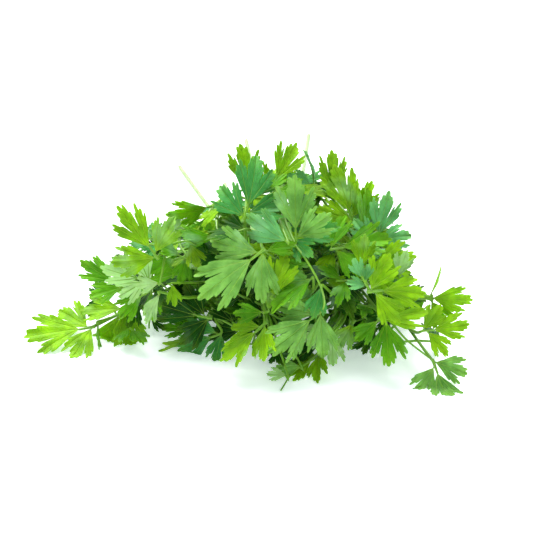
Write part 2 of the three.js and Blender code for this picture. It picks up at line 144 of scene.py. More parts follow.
# Fronds from left to right: name, bare length behind the waist, slot in the waist, bend, and sprays.
# A spray is: place on the stalk, hub x, y, z, clock direction, roll, leaflet length, number of
# leaflets, degrees between them, and tone
# The dark and deep tones in these tables are painted shade, for leaves that lie in the shade of the pile
FRONDS = (
    ("frond_left_far", 158, (-3, 0), (-50, 90, 16), (
        (1, -103, 48, 9, 190, 50, 32, 3, 54, "bright"),
        (0.94, -100, 49, 12, 250, 50, 17, 1, 0, "mid"),
    )),
    ("frond_left_low", 74, (-2, 0), (-42, 92, 22), (
        (1, -83, 54, 20, 228, 10, 30, 3, 52, "bright"),
    )),
    ("frond_left_mid", 88, (-3, 1), (-44, 88, 42), (
        (1, -83, 44, 38, 150, 20, 22, 3, 55, "mid"),
        (0.93, -67, 38, 45, 160, 160, 22, 3, 53, "pale"),
        (0.86, -67, 42, 38, 215, 0, 18, 3, 54, "mid"),
    )),
    ("frond_left_high", 121, (-2, 1), (-36, 84, 64), (
        (1, -62, 37, 62, 125, 0, 28, 3, 62, "bright"),
        (0.86, -46, 43, 60, 200, 0, 18, 3, 53, "mid"),
    )),
    ("frond_left_top", 96, (-2, 2), (-16, 90, 74), (
        (1, -33, 65, 80, 190, -30, 23, 1, 0, "bright"),
        (0.97, -31, 62, 78, -10, 0, 16, 1, 0, "mid"),
        (0.95, -33, 60, 78, 250, 0, 20, 1, 0, "mid"),
        (0.86, -27, 41, 72, 172, -50, 23, 1, 0, "mid"),
        (0.82, -49, 38, 50, 170, 0, 20, 1, 0, "mid"),
    )),
    ("frond_left_inner", 66, (-1, 0), (-22, 92, 26), (
        (1, -33, 37, 22, 170, 0, 27, 3, 50, "dark"),
        (0.93, -39, 44, 6, 195, -50, 25, 1, 0, "olive"),
        (0.86, -60, 29, 44, 240, 60, 18, 1, 0, "pale"),
        (0.95, -26, 34, 14, 205, 0, 22, 3, 53, "blue"),
    )),
    ("frond_top_left", 199, (-1, 2), (-10, 92, 78), (
        (1, -12, 39, 86, 75, 0, 29, 3, 54, "blue"),
        (0.86, -11, 71, 88, 98, 0, 24, 1, 0, "bright"),
        (0.92, -12, 42, 64, 185, 0, 27, 3, 54, "deep"),
    )),
    ("frond_centre_broad", 98, (-1, 1), (-6, 80, 60), (
        (1, -2, 23, 74, 218, 0, 36, 3, 54, "light"),
        (0.97, -1, 29, 70, -35, 0, 22, 3, 54, "mid"),
    )),
    ("frond_top_mid", 82, (0, 2), (8, 92, 76), (
        (1, 3, 71, 88, 65, 0, 24, 3, 54, "bright"),
        (0.82, 16, 32, 74, 88, 0, 30, 3, 53, "light"),
        (0.88, 12, 25, 78, 146, -30, 26, 1, 0, "mint"),
    )),
    ("frond_front", 64, (0, 0), (-2, 84, 34), (
        (1, -1, 14, 32, 222, 55, 25, 3, 52, "bright"),
        (0.93, 1, 26, 24, 265, 0, 17, 1, 0, "dark"),
        (0.9, -1, 20, 36, 180, 0, 16, 1, 0, "mid"),
    )),
    ("frond_centre_low", 92, (0, 1), (14, 82, 44), (
        (1, 30, 14, 40, 218, 0, 29, 3, 52, "light"),
        (0.94, 3, 12, 50, 75, 0, 24, 1, 0, "bright"),
        (0.92, 26, 21, 58, 215, 50, 28, 1, 0, "mid"),
        (0.88, 31, 22, 8, 222, 60, 24, 3, 52, "bright"),
        (0.84, 34, 26, 14, 195, 0, 26, 1, 0, "dark"),
    )),
    ("frond_top_right", 209, (1, 2), (38, 88, 68), (
        (1, 38, 68, 86, 88, 0, 24, 1, 0, "bright"),
        (0.9, 28, 75, 88, 85, 70, 20, 1, 0, "mint"),
        (0.92, 28, 75, 86, 155, 0, 17, 1, 0, "mint"),
        (0.84, 50, 57, 74, 108, 0, 27, 3, 54, "bright"),
    )),
    ("frond_front_right", 70, (1, 0), (30, 86, 36), (
        (1, 50, 29, 24, 240, 0, 17, 1, 0, "bright"),
        (0.95, 37, 20, 22, 275, 0, 18, 1, 0, "pale"),
        (0.92, 37, 20, 24, 200, 0, 17, 1, 0, "pale"),
        (0.86, 31, 16, 56, 250, 0, 18, 1, 0, "blue"),
        (0.82, 40, 41, 56, 270, 0, 26, 3, 54, "dark"),
    )),
    ("frond_right_top", 104, (1, 1), (40, 84, 58), (
        (1, 62, 43, 66, 75, 0, 24, 3, 55, "mint"),
        (0.9, 36, 35, 68, 10, -20, 27, 3, 53, "mid"),
        (0.95, 54, 50, 72, 75, 60, 23, 1, 0, "mid"),
    )),
    ("frond_right_high", 84, (2, 2), (46, 80, 56), (
        (1, 53, 28, 60, 15, 0, 25, 3, 54, "bright"),
        (0.86, 73, 24, 56, 60, 0, 16, 1, 0, "pale"),
    )),
    ("frond_right_mid", 94, (2, 1), (50, 76, 46), (
        (1, 57, 12, 54, 5, 0, 25, 3, 54, "bright"),
        (0.85, 93, 29, 40, -5, 0, 22, 1, 0, "bright"),
        (0.87, 93, 29, 39, -60, 0, 18, 1, 0, "bright"),
        (0.89, 93, 29, 41, 80, 70, 16, 1, 0, "bright"),
    )),
    ("frond_right_low", 68, (2, 0), (48, 80, 26), (
        (1, 67, 15, 34, 275, 0, 25, 1, 0, "mid"),
        (0.95, 62, 10, 38, 8, 0, 26, 1, 0, "bright"),
        (0.92, 63, 12, 36, 222, 0, 17, 1, 0, "mid"),
        (0.86, 63, 36, 18, 250, 0, 16, 1, 0, "dark"),
    )),
    ("frond_right_far", 102, (3, 0), (64, 72, 24), (
        (1, 94, 6, 12, 290, 0, 24, 3, 50, "light"),
        (0.88, 88, 16, 26, 5, 0, 20, 3, 54, "bright"),
    )),
)

# Spray inside the pile on every stalk
INNER_PLACE = 0.56
INNER_REACH = (7, 17)
INNER_LIFT = (-8, 6)
INNER_BACK = (-0.8, 0.5)
INNER_RISE = (-0.5, 0.2)
INNER_LENGTH = (20, 26)
INNER_SPREAD = 56

# Tones of leaves inside the pile, above and below a height on the table; the darker tones below it are
# painted shade
TONE_HEIGHT = 44
HIGH_TONES = ("mid", "bright", "deep", "blue", "olive")
LOW_SHADE_TONES = ("deep", "mid", "dark", "deep", "dark")

# Tries by which the solids were laid clear of one another
SPIRAL_ANGLE = 2.4
STEM_TRIES = 120
STEM_STEP = 2.4
STEM_LEAD_SHARE = 0.4
LEAFLET_TRIES = 48
LEAN_STEP = math.radians(6)
ROLL_STEP = math.radians(9)
SWING_STEP = math.radians(3)

# A try is the one in the solid when this share of its corners is found there, this close
CORNER_GAP = 0.06 * MM
LEAST_STALK = 0.5
LEAST_BRANCH = 0.3
LEAST_LEAFLET = 0.4

# Series of draws for the natural variety, and the first seeds of the series
DRAW_SPREAD = 2654435761
DRAW_FACTOR = 1664525
DRAW_STEP = 1013904223
DRAW_RANGE = 2 ** 32
LEAFLET_SEED = 1000
SHAPE_SEED = 5000
FILL_SEED = 9000
EXTRA_SEED = 6000

# Half outline with its teeth, from the tip outwards: share of the half spread, share of the length.
# Tips and the cuts between them take turns
TEETH = (
    (0.0, 1.0), (0.09, 0.9), (0.165, 0.93), (0.235, 0.78), (0.29, 0.8), (0.36, 0.4), (0.43, 0.72),
    (0.49, 0.67), (0.58, 0.89), (0.665, 0.76), (0.74, 0.8), (0.82, 0.62), (0.89, 0.65), (1.0, 0.34),
)
TOOTH_ROUNDNESS = 0.5
TOOTH_REACH_JITTER = 0.04
TOOTH_TURN_JITTER = 0.014
BLADE_WIDENING = 1.22
SIDE_VEIN = 0.62
BLADE_ROWS = (0.0, 0.12, 0.32, 0.54, 0.76, 0.92, 1.0)
SMALL_BLADE_ROWS = (0.0, 0.35, 0.7, 1.0)
TOOTH_STEPS = 3
SMALL_TOOTH_STEPS = 2
LOBE_BEND = (-0.42, 0.3)
LOBE_START = 0.35
QUILT_RISE = 0.16
QUILT_GROWTH = 1.5
RIPPLE_RISE = 0.022
RIPPLE_GROWTH = 3
RIPPLE_TURNS = 17
CREASE_WIDTH = 0.03

# Fineness of the stems, and the raised main veins
STALK_POINTS = 72
STRAIGHT_POINTS = 3
BRANCH_POINTS = 12
BRANCH_SLIMMING = 0.7
VEIN_ROWS = (0.0, 0.15, 0.35, 0.55, 0.75, 0.92)
MIDRIB_RADIUS = (0.5, 0.1)
SIDE_VEIN_RADIUS = (0.28, 0.07)
VEIN_SINK = 0.14

# Small sprays that fill the pile: where on the stalks, how far off them, and what they are like
FILL_PLACES = (0.2, 0.34, 0.46, 0.58, 0.68, 0.77, 0.85, 0.92)
FILL_REACH = (4, 15)
FILL_LIFT = (-4, 9)
FILL_BACK = (-0.7, 0.7)
FILL_RISE = (-0.5, 0.6)
FILL_FACE_FRONT = (0.2, 1.3)
FILL_LENGTH = (15, 24)
FILL_SPREAD = 52
FILL_SHAPES = 6
FILL_SHAPE_LENGTH = 20
FILL_EDGE = 1.5
FILL_FLOOR = 1.2
PETIOLE_RADIUS = (0.8, 0.5)

# Small sprays that show, by frond, laid out as those of the table above
EXTRAS = (
    ("frond_left_high", (0.9, -56, 50, 66, 110, 20, 16, 3, 52, "pale")),
    ("frond_left_high", (0.94, -60, 29, 50, 185, 10, 13, 1, 0, "pale")),
    ("frond_left_low", (0.88, -69, 50, 14, 265, 0, 14, 3, 52, "dark")),
    ("frond_left_inner", (0.8, -53, 25, 52, 275, 0, 12, 1, 0, "bright")),
    ("frond_front", (0.95, 1, 14, 40, 80, 0, 12, 1, 0, "bright")),
    ("frond_front", (0.9, 20, 12, 5, 186, 30, 14, 1, 0, "light")),
    ("frond_front", (0.9, 12, 1, 6, 174, 30, 11, 1, 0, "pale")),
    ("frond_right_high", (0.95, 55, 8, 60, 120, 0, 12, 3, 52, "mint")),
)

# Upper and lower edge of the pile as the camera sees it, across and up from its target, in millimetres
MOUND_TOP = (
    (-137, -42), (-116, -24), (-103, -8), (-84, 18), (-72, 26), (-54, 31), (-24, 36), (-16, 56), (16, 60),
    (44, 60), (64, 42), (78, 26), (91, -8), (104, -24), (125, -30),
)
MOUND_FOOT = (
    (-137, -48), (-44, -49), (-12, -62), (4, -78), (18, -76), (38, -64), (54, -50), (78, -50), (92, -66),
    (125, -72),
)

# Small sprays low at the front, where the floor would show through, in dark tones of painted shade
UNDERGROWTH_SEED = 7000
UNDERGROWTH = 48
UNDERGROWTH_SPAN = (-80, 72)
UNDERGROWTH_FRONT = ((-90, 60), (-40, 46), (0, 26), (60, 26), (80, 38))
UNDERGROWTH_DEPTH = (0, 30)
UNDERGROWTH_HEIGHT = (4, 26)
UNDERGROWTH_TRIES = 6
UNDERGROWTH_AIM = ((-1, 1), (-1, 0.3), (-0.2, 0.7))
UNDERGROWTH_FACE_UP = (-0.2, 0.8)
UNDERGROWTH_SHADE_TONES = ("dark", "deep", "dark", "mid", "deep")

# Leaf stems that show in front of the leaves, by frond
PETIOLES = {
    "frond_centre_low": ((16, 31, 73), (22, 21, 69), (29, 11, 60), (32, 9, 50), (31, 12, 41)),
    "frond_front": ((31, 22, 9), (23, 15, 5), (15, 8, 3.5), (8, -7, 1.3)),
    "frond_right_far": ((60, 26, 36), (70, 22, 29), (80, 17, 19), (94, 7, 12)),
    "frond_top_right": ((28, 74, 87), (36, 68, 78), (46, 64, 68), (52, 60, 62)),
    "frond_right_mid": ((62, 30, 44), (74, 30, 41), (84, 30, 39), (93, 29, 40)),
}

# Main and fine veins of a blade, as shares of its size
VEIN_WIDTH = 0.026
VEIN_NARROWING = 0.012
FINE_VEINS = 11.0
FINE_VEIN_SLANT = 0.55
FINE_VEIN_WIDTH = 0.09

# Patterns of the finishes: repeats in a metre, detail, and the noise between which each comes in
MOTTLE = (160.0, 4.0, 0.3, 0.7)
UNDER_MOTTLE = (220.0, 4.0, 0.3, 0.7)
PATCHES = (55.0, 2.0, 0.35, 0.55)
# Bluish patches of painted sheen, a painted highlight for leaves that face the light
SHEEN_PATCHES = (38.0, 2.0, 0.57, 0.7)
FLOOR_CLOUDS = (2.0, 2.0, 0.2, 0.8)
GRAIN = (600.0, 2.0)
STREAKS = (420.0, 3.0)
STREAK_RANGE = (0.35, 0.65)
STREAK_STRETCH = (1.0, 0.12, 1.0)

# How strongly each layer of the finishes shows. The shares of veins are for the fine and the main ones
MOTTLE_SHARE = 0.4
MOTTLE_ROUGHNESS = 0.12
VEIN_SHARES = (0.16, 0.6)
RIM_SHARE = 0.3
RIM_RANGE = (0.55, 1.0)
UNDER_MOTTLE_SHARE = 0.12
UNDER_VEIN_SHARES = (0.22, 0.5)
UNDER_ROUGHNESS = 0.62
FINE_VEIN_RELIEF = 0.45
GRAIN_RELIEF = 0.8
RELIEF_STRENGTH = 0.7
STREAK_SHARE = 0.3
STEM_ROUGHNESS = 0.38
STEM_GLOW = 0.3
STEM_GLOW_REACH = (0.6, 1.0, 0.3)
STEM_GLOW_DEPTH = 1.0 * MM
STEM_RELIEF = 0.1 * MM
STEM_RELIEF_STRENGTH = 0.4

# Edges of the blades that stay sharp between their upper and lower sides
SHARP_EDGE = math.radians(60)

# Floor, reaching this far to each side in metres
FLOOR_HALF = 10.0
FLOOR_CLOUD_LIFT = 1.01
FLOOR_ROUGHNESS = 0.7
FLOOR_GLOSS = 0.2

# Soft lights: where from, seen from the leaves, how wide in degrees, and which strength
LIGHTS = (
    ("overhead", (-0.25, 0.55, 1.0), 50, "key_strength"),
    ("front", (0.5, -0.9, 0.8), 60, "fill_strength"),
)

# Camera, aimed at the middle of the leaves
CAMERA_TARGET = Vector((0, 75, 35))
CAMERA_DISTANCE = 800
CAMERA_LENS = 90


def draws(seed):
    """Repeatable draws between a low and a high value."""
    state = (seed * DRAW_SPREAD) % DRAW_RANGE

    def draw(low, high):
        nonlocal state
        state = (state * DRAW_FACTOR + DRAW_STEP) % DRAW_RANGE
        return low + (high - low) * state / DRAW_RANGE

    return draw


def turned(vector, axis, angle):
    """The vector turned about an axis."""
    return Quaternion(axis, angle) @ vector


def on_part(point):
    """A point on the table in the part's own frame, in metres."""
    return (point - BUNCH_CENTRE) * MM


def between(low, high, share):
    return low + (high - low) * share


def stem_shift(attempt):
    """Sideways and upward shift of a stem's middle at one try."""
    reach = STEM_STEP * math.sqrt(attempt)
    angle = SPIRAL_ANGLE * attempt
    return Vector((reach * math.cos(angle), 0, reach * abs(math.sin(angle))))


class StalkLine:
    """Smooth middle line of a stalk through its guide points."""

    TANGENT_STEP = 0.0001

    def __init__(self, guides):
        first = guides[0] * 2 - guides[1]
        last = guides[-1] * 2 - guides[-2]
        self.guides = [first, *guides, last]
        self.spans = len(guides) - 1

    def point(self, share):
        span = min(int(share * self.spans), self.spans - 1)
        t = share * self.spans - span
        before, start, end, after = self.guides[span:span + 4]
        leave = (end - before) * 0.5
        arrive = (after - start) * 0.5
        square = (end - start) * 3 - leave * 2 - arrive
        cube = (start - end) * 2 + leave + arrive
        return start + leave * t + square * (t * t) + cube * (t ** 3)

    def tangent(self, share):
        low = max(share - self.TANGENT_STEP, 0)
        high = min(share + self.TANGENT_STEP, 1)
        return (self.point(high) - self.point(low)).normalized()

    def straight_point(self, share):
        """Point on the straight-sided middle line that the solids have."""
        step = min(int(share * STALK_STEPS), STALK_STEPS - 1)
        start = self.point(step / STALK_STEPS)
        end = self.point((step + 1) / STALK_STEPS)
        return start.lerp(end, share * STALK_STEPS - step)


@dataclass
class Leaflet:
    """One blade of a spray, in the table's millimetres."""

    root: Vector
    along: Vector
    face: Vector
    length: float
    half_spread: float
    droop: float
    fold: float
    tone: str
    seed: int
    side: Vector = None


@dataclass
class Spray:
    """Stem to a hub and the leaflets round it."""

    line: StalkLine
    share: float
    hub: Vector
    along: Vector
    face: Vector
    length: float
    count: int
    spread: float
    tone: str
    index: int = 0
    leaflets: list = field(default_factory=list)
    centres: list = field(default_factory=list)


@dataclass
class Frond:
    """A stalk with its sprays."""

    name: str
    line: StalkLine
    sprays: list


def stalk_line(bare, slot, bend, first_spray, attempt):
    """Cut end on the surface, slot in the waist, bend and hub, smoothly joined."""
    column, row = slot
    shift = stem_shift(attempt)
    across = column + row * ROW_STAGGER
    gap = WAIST + Vector((across * WAIST_SPACING, 0, row * WAIST_ROW_HEIGHT))
    fan = math.radians(FAN_MIDDLE + across * FAN_STEP)
    butt = Vector((gap.x + bare * math.sin(fan), gap.y + bare * math.cos(fan), BUTT_HEIGHT))
    back = butt.lerp(gap, 0.5)
    turn = Vector(bend) + shift
    lead = gap.lerp(turn, LEAD_SHARE)
    lead.z = gap.z + LEAD_RISE * (row + 1)
    lead += shift * STEM_LEAD_SHARE
    return StalkLine([butt, back, gap, lead, turn, Vector(first_spray[1:4])])


def ring_corners(centres, radii, sides):
    """Corners of a solid stem, its ring frame carried along without a twist."""
    start = (centres[1] - centres[0]).normalized()
    side = Vector((0, 1, 0)) if abs(start.x) > math.sqrt(0.5) else VIEW_RIGHT.copy()
    corners = []
    for i, centre in enumerate(centres):
        ahead = centres[min(i + 1, len(centres) - 1)]
        along = (ahead - centres[max(i - 1, 0)]).normalized()
        side = (side - along * side.dot(along)).normalized()
        over = along.cross(side)
        for k in range(sides):
            angle = (k + 0.5) / sides * 2 * math.pi - math.pi / 2
            corner = centre + side * (radii[i] * math.cos(angle)) + over * (radii[i] * math.sin(angle))
            corner.z = max(corner.z, 0)
            corners.append(corner)
    return corners


def stalk_corners(line):
    shares = [i / STALK_STEPS for i in range(STALK_STEPS + 1)]
    centres = [line.point(share) for share in shares]
    radii = [between(STALK_BUTT_RADIUS, STALK_TIP_RADIUS, share) for share in shares]
    return ring_corners(centres, radii, STALK_SIDES)


def end_stem(spray):
    """Length of stem from the hub, with its side leaflets, to the foot of the end leaflet."""
    return END_STEM_SHARE * spray.length + 2 * LEAFLET_PITCH if spray.count > 1 else END_STEM_LAP


def branch_centres(spray, attempt):
    """Middle line of a branch from the stalk over the hub to the foot of its end leaflet."""
    end = spray.hub + spray.along * end_stem(spray)
    if spray.share == 1:
        return [spray.hub - spray.along * END_STEM_LAP, end]
    foot = spray.line.straight_point(spray.share)
    middle = foot.lerp(spray.hub, 0.5) + stem_shift(attempt)
    middle += spray.line.tangent(spray.share) * (BRANCH_LEAD * (spray.hub - foot).length)
    halfway = foot * 0.25 + middle * 0.5 + spray.hub * 0.25
    return [foot, halfway, spray.hub.copy(), end]


def branch_corners(spray, attempt):
    centres = branch_centres(spray, attempt)
    shares = [min(i / BRANCH_STEPS, 1) for i in range(len(centres))]
    radii = [between(BRANCH_FOOT_RADIUS, BRANCH_TIP_RADIUS, share) for share in shares]
    return ring_corners(centres, radii, BRANCH_SIDES)


def stalk_share(place):
    """Curve share of a place given from the waist, 0, to the stalk's end, 1."""
    return WAIST_SHARE + (1 - WAIST_SHARE) * place


def shown_spray(line, row):
    """Spray from a row of the table, its blades turned to the front and rolled about their direction."""
    place, x, y, z, clock, roll, length, count, spread, tone = row
    angle = math.radians(clock)
    along = VIEW_RIGHT * math.cos(angle) + VIEW_UP * math.sin(angle)
    face = turned(VIEW_NEAR, along, math.radians(roll))
    hub = Vector((x, y, z))
    return Spray(line, stalk_share(place), hub, along, face, length, count, math.radians(spread), tone)


def tone_at(hub, index):
    """Tone inside the pile: darker tones low in it as painted shade, brighter ones on top of it."""
    tones = HIGH_TONES if hub.z > TONE_HEIGHT else LOW_SHADE_TONES
    return tones[index % len(tones)]


def inner_spray(line, index):
    """Spray beside the stalk inside the pile, its blades turned up and outwards."""
    draw = draws(index)
    share = stalk_share(INNER_PLACE)
    stem = line.tangent(share)
    side = Vector((stem.y, -stem.x, 0)).normalized()
    if index % 2 == 0:
        side.negate()
    hub = line.point(share) + side * draw(*INNER_REACH)
    hub.z += draw(*INNER_LIFT)
    along = side + stem * draw(*INNER_BACK)
    along = (along + SKY * draw(*INNER_RISE)).normalized()
    face = (SKY - along * along.z).normalized()
    length = draw(*INNER_LENGTH)
    return Spray(line, share, hub, along, face, length, 3, math.radians(INNER_SPREAD), tone_at(hub, index))


def spray_leaflets(spray):
    """The end leaflet on its short stem, then one to each side of the hub."""
    draw = draws(LEAFLET_SEED + spray.index)
    footings = {0: end_stem(spray) - END_STEM_LAP, 1: 0, -1: LEAFLET_PITCH}
    leaflets = []
    for hand in (0, 1, -1)[:spray.count]:
        swing = hand * (spray.spread + draw(-SPREAD_JITTER, SPREAD_JITTER))
        aim = swing + draw(-AIM_JITTER, AIM_JITTER)
        along = turned(spray.along, spray.face, aim)
        face = turned(spray.face, along, draw(-ROLL_JITTER, ROLL_JITTER))
        side = face.cross(along)
        lean = draw(*LEAN_JITTER)
        along = turned(along, side, lean)
        face = turned(face, side, lean)
        root = spray.hub + spray.along * footings[hand]
        length = spray.length * (1 if hand == 0 else draw(*SIDE_LEAFLET_SHARE))
        form = [draw(*span) for span in (HALF_SPREAD, DROOP, FOLD)]
        seed = SHAPE_SEED + 3 * spray.index + hand
        leaflets.append(Leaflet(root, along, face, length, *form, spray.tone, seed))
    return leaflets


def leaflet_axes(leaflet, attempt):
    """Directions of a leaflet at one try: along its midrib, across it, and out of its upper face."""
    reach = math.sqrt(attempt)
    angle = SPIRAL_ANGLE * attempt
    face = leaflet.face
    along = turned(leaflet.along, face, SWING_STEP * reach * math.cos(2 * angle))
    side = face.cross(along)
    lean = -LEAN_STEP * reach * math.cos(angle)
    along = turned(along, side, lean)
    face = turned(face, side, lean)
    face = turned(face, along, ROLL_STEP * reach * math.sin(angle))
    return along, face.cross(along), face


def rim_corners(leaflet, attempt):
    """Corners of a solid blade's rim, on both of its faces."""
    half = SMALL_HALF_OUTLINE if leaflet.length < SMALL_LEAFLET else HALF_OUTLINE
    outline = [(-turn, reach) for turn, reach in half] + [(0, 1)] + list(half)
    along, side, face = leaflet_axes(leaflet, attempt)
    foot = leaflet.root - along * BLADE_ROOT_SINK
    corners = []
    for turn, reach in outline:
        angle = turn * leaflet.half_spread
        distance = reach * leaflet.length
        across = distance * math.sin(angle)
        rise = leaflet.fold * abs(across) - leaflet.droop * reach * reach * leaflet.length
        middle = foot + along * (BLADE_NECK + distance * math.cos(angle)) + side * across
        pair = [middle + face * (rise + half_step) for half_step in (BLADE_HALF, -BLADE_HALF)]
        lift = max(0, -min(corner.z for corner in pair))
        corners += [corner + SKY * lift for corner in pair]
    return corners


def best_try(tree, tries, corners_at, least):
    """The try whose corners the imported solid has, or none."""
    best, found = least, None
    for attempt in range(tries):
        corners = corners_at(attempt)
        hits = sum(tree.find(on_part(corner))[2] < CORNER_GAP for corner in corners)
        if hits / len(corners) > best:
            best, found = hits / len(corners), attempt
    return found


def corner_tree(name):
    """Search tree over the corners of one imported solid."""
    corners = frame["nodes"][name].data.vertices
    tree = kdtree.KDTree(len(corners))
    for i, corner in enumerate(corners):
        tree.insert(corner.co, i)
    tree.balance()
    return tree


def settle_spray(tree, spray):
    """Branch and leaflets of a spray where the solid has them. False where it has no branch."""
    attempt = 0
    if spray.share != 1:
        attempt = best_try(tree, STEM_TRIES, lambda k: branch_corners(spray, k), LEAST_BRANCH)
    if attempt is None:
        return False
    spray.centres = branch_centres(spray, attempt)
    for leaflet in spray_leaflets(spray):
        found = best_try(tree, LEAFLET_TRIES, lambda k: rim_corners(leaflet, k), LEAST_LEAFLET)
        if found is not None:
            leaflet.along, leaflet.side, leaflet.face = leaflet_axes(leaflet, found)
            spray.leaflets.append(leaflet)
    return True


@functools.lru_cache(maxsize=1)
def bunch():
    """Every frond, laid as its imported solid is."""
    fronds = []
    index = 0
    for name, bare, slot, bend, rows in FRONDS:
        tree = corner_tree(name)

        def line_at(attempt):
            return stalk_line(bare, slot, bend, rows[0], attempt)

        attempt = best_try(tree, STEM_TRIES, lambda k: stalk_corners(line_at(k)), LEAST_STALK)
        if attempt is None:
            raise RuntimeError(name + " isn't laid as its solid is")
        line = line_at(attempt)
        sprays = [shown_spray(line, row) for row in rows] + [inner_spray(line, index)]
        for spray in sprays:
            spray.index = index
            index += 1
        fronds.append(Frond(name, line, [spray for spray in sprays if settle_spray(tree, spray)]))
    return fronds


def toothed_half(draw, steps):
    """Turns and reaches along one half of the rim, from the tip to the base, each tooth rounded."""
    points = [TEETH[0]]
    for turn, reach in TEETH[1:-1]:
        turn += draw(-TOOTH_TURN_JITTER, TOOTH_TURN_JITTER)
        points.append((turn, reach + draw(-TOOTH_REACH_JITTER, TOOTH_REACH_JITTER)))
    points.append(TEETH[-1])
    turns, reaches = [], []
    for i, ((turn, reach), (next_turn, next_reach)) in enumerate(zip(points, points[1:])):
        falling = i % 2 == 0
        for k in range(steps):
            share = k / steps
            climb = math.sin((1 - share if falling else share) * math.pi / 2) ** TOOTH_ROUNDNESS
            low, high = (next_reach, reach) if falling else (reach, next_reach)
            turns.append(between(turn, next_turn, share))
            reaches.append(between(low, high, climb))
    return turns + [points[-1][0]], reaches + [points[-1][1]]


def blade_rise(leaflet, turn, reach, across):
    """Rise of the blade over its plane: fold, droop, bent lobes, quilting between veins and a rippled rim."""
    draw = draws(leaflet.seed + SHAPE_SEED)
    middle_bend, right_bend, left_bend = (draw(*LOBE_BEND) for _ in range(3))
    phase = draw(0, 2 * math.pi)
    off_crease = np.sqrt(across ** 2 + (CREASE_WIDTH * leaflet.length) ** 2)
    rise = leaflet.fold * (off_crease - CREASE_WIDTH * leaflet.length)
    rise -= leaflet.droop * reach ** 2 * leaflet.length
    bend = np.where(turn > 0, left_bend, right_bend) * np.clip(np.abs(turn) / SIDE_VEIN, 0, 1) ** 2
    bend = bend + middle_bend * np.clip(1 - np.abs(turn) / SIDE_VEIN, 0, 1) ** 2
    rise = rise + bend * leaflet.length * np.clip(reach - LOBE_START, 0, 1) ** 2
    off_vein = np.minimum(np.abs(turn), np.abs(np.abs(turn) - SIDE_VEIN))
    quilt = QUILT_RISE * off_vein * reach ** QUILT_GROWTH
    rise = rise + quilt * leaflet.length * leaflet.half_spread
    ripple = np.sin(RIPPLE_TURNS * turn + phase) * reach ** RIPPLE_GROWTH
    return rise + RIPPLE_RISE * leaflet.length * ripple


def blade_surface(leaflet, turns, reaches, rows):
    """Points of the blade's middle surface by column and row: forward, across and rise in millimetres."""
    turn = np.array(turns)[:, None]
    row = np.array(rows)[None, :]
    reach = np.array(reaches)[:, None] * row
    angle = turn * leaflet.half_spread * BLADE_WIDENING
    distance = reach * leaflet.length
    across = distance * np.sin(angle) + BLADE_ROOT_HALF_WIDTH * turn * (1 - row) ** 2
    forward = BLADE_NECK + distance * np.cos(angle)
    rise = blade_rise(leaflet, turn, reach, across)
    return np.stack([forward, across, rise], axis=-1), reach


def blade_columns(leaflet, steps):
    """Turns and reaches of the whole rim from right to left."""
    draw = draws(leaflet.seed)
    right_turns, right_reaches = toothed_half(draw, steps)
    left_turns, left_reaches = toothed_half(draw, steps)
    turns = [-turn for turn in reversed(right_turns)] + left_turns[1:]
    return turns, right_reaches[::-1] + left_reaches[1:]


def blade_quads(columns, rows, first):
    """Faces of the grid of one blade, facing out of its upper side."""
    quads = []
    for c in range(columns - 1):
        for r in range(rows - 1):
            a = first + c * rows + r
            quads.append((a, a + 1, a + rows + 1, a + rows))
    return quads


class BladeSheets:
    """Middle surfaces of many blades, gathered into one mesh."""

    def __init__(self):
        self.points = []
        self.quads = []
        self.uvs = []
        self.tones = []

    def add(self, leaflet, steps, rows, lowest):
        turns, reaches = blade_columns(leaflet, steps)
        grid, reach = blade_surface(leaflet, turns, reaches, rows)
        foot = leaflet.root - leaflet.along * BLADE_ROOT_SINK
        axes = np.array([leaflet.along, leaflet.side, leaflet.face])
        points = grid.reshape(-1, 3) @ axes + np.array(foot)
        if lowest is not None:
            points[:, 2] = np.maximum(points[:, 2], lowest)
        self.quads += blade_quads(len(turns), len(rows), len(self.points))
        self.points += [Vector(point) for point in points]
        across = np.repeat(np.array(turns) * 0.5 + 0.5, len(rows))
        self.uvs += list(zip(across, reach.reshape(-1)))
        self.tones += [leaflet.tone] * len(points)

    def mesh(self, name, tones=None):
        """Mesh with the blades' own coordinates as UV and, where asked, their tones."""
        mesh = bpy.data.meshes.new(name)
        mesh.from_pydata(self.points, [], self.quads)
        corners = np.zeros(len(mesh.loops), dtype=np.int32)
        mesh.loops.foreach_get("vertex_index", corners)
        layer = mesh.uv_layers.new(name="blade")
        layer.uv.foreach_set("vector", np.array(self.uvs, dtype=np.float32)[corners].ravel())
        if tones:
            colours = [(*tones[tone], 1.0) for tone in self.tones]
            attribute = mesh.attributes.new("tone", "FLOAT_COLOR", "POINT")
            attribute.data.foreach_set("color", np.array(colours, dtype=np.float32).ravel())
        mesh.polygons.foreach_set("use_smooth", [True] * len(mesh.polygons))
        return mesh


class StemPaths:
    """Middle lines of many stems with their thickness, gathered into one mesh of edges."""

    def __init__(self):
        self.points = []
        self.edges = []
        self.radii = []

    def add(self, centres, radii):
        first = len(self.points)
        for centre, radius in zip(centres, radii):
            raised = Vector((centre.x, centre.y, max(centre.z, radius)))
            self.points.append(on_part(raised))
        self.edges += [(first + i, first + i + 1) for i in range(len(centres) - 1)]
        self.radii += [radius * MM for radius in radii]

    def mesh(self, name):
        mesh = bpy.data.meshes.new(name)
        mesh.from_pydata(self.points, self.edges, [])
        attribute = mesh.attributes.new("thickness", "FLOAT", "POINT")
        attribute.data.foreach_set("value", np.array(self.radii, dtype=np.float32))
        return mesh


def smooth_path(centres, count):
    """Points along a smooth line through a few centres."""
    if len(centres) == 2:
        return [centres[0].lerp(centres[1], i / STRAIGHT_POINTS) for i in range(STRAIGHT_POINTS + 1)]
    line = StalkLine(centres)
    return [line.point(i / count) for i in range(count + 1)]


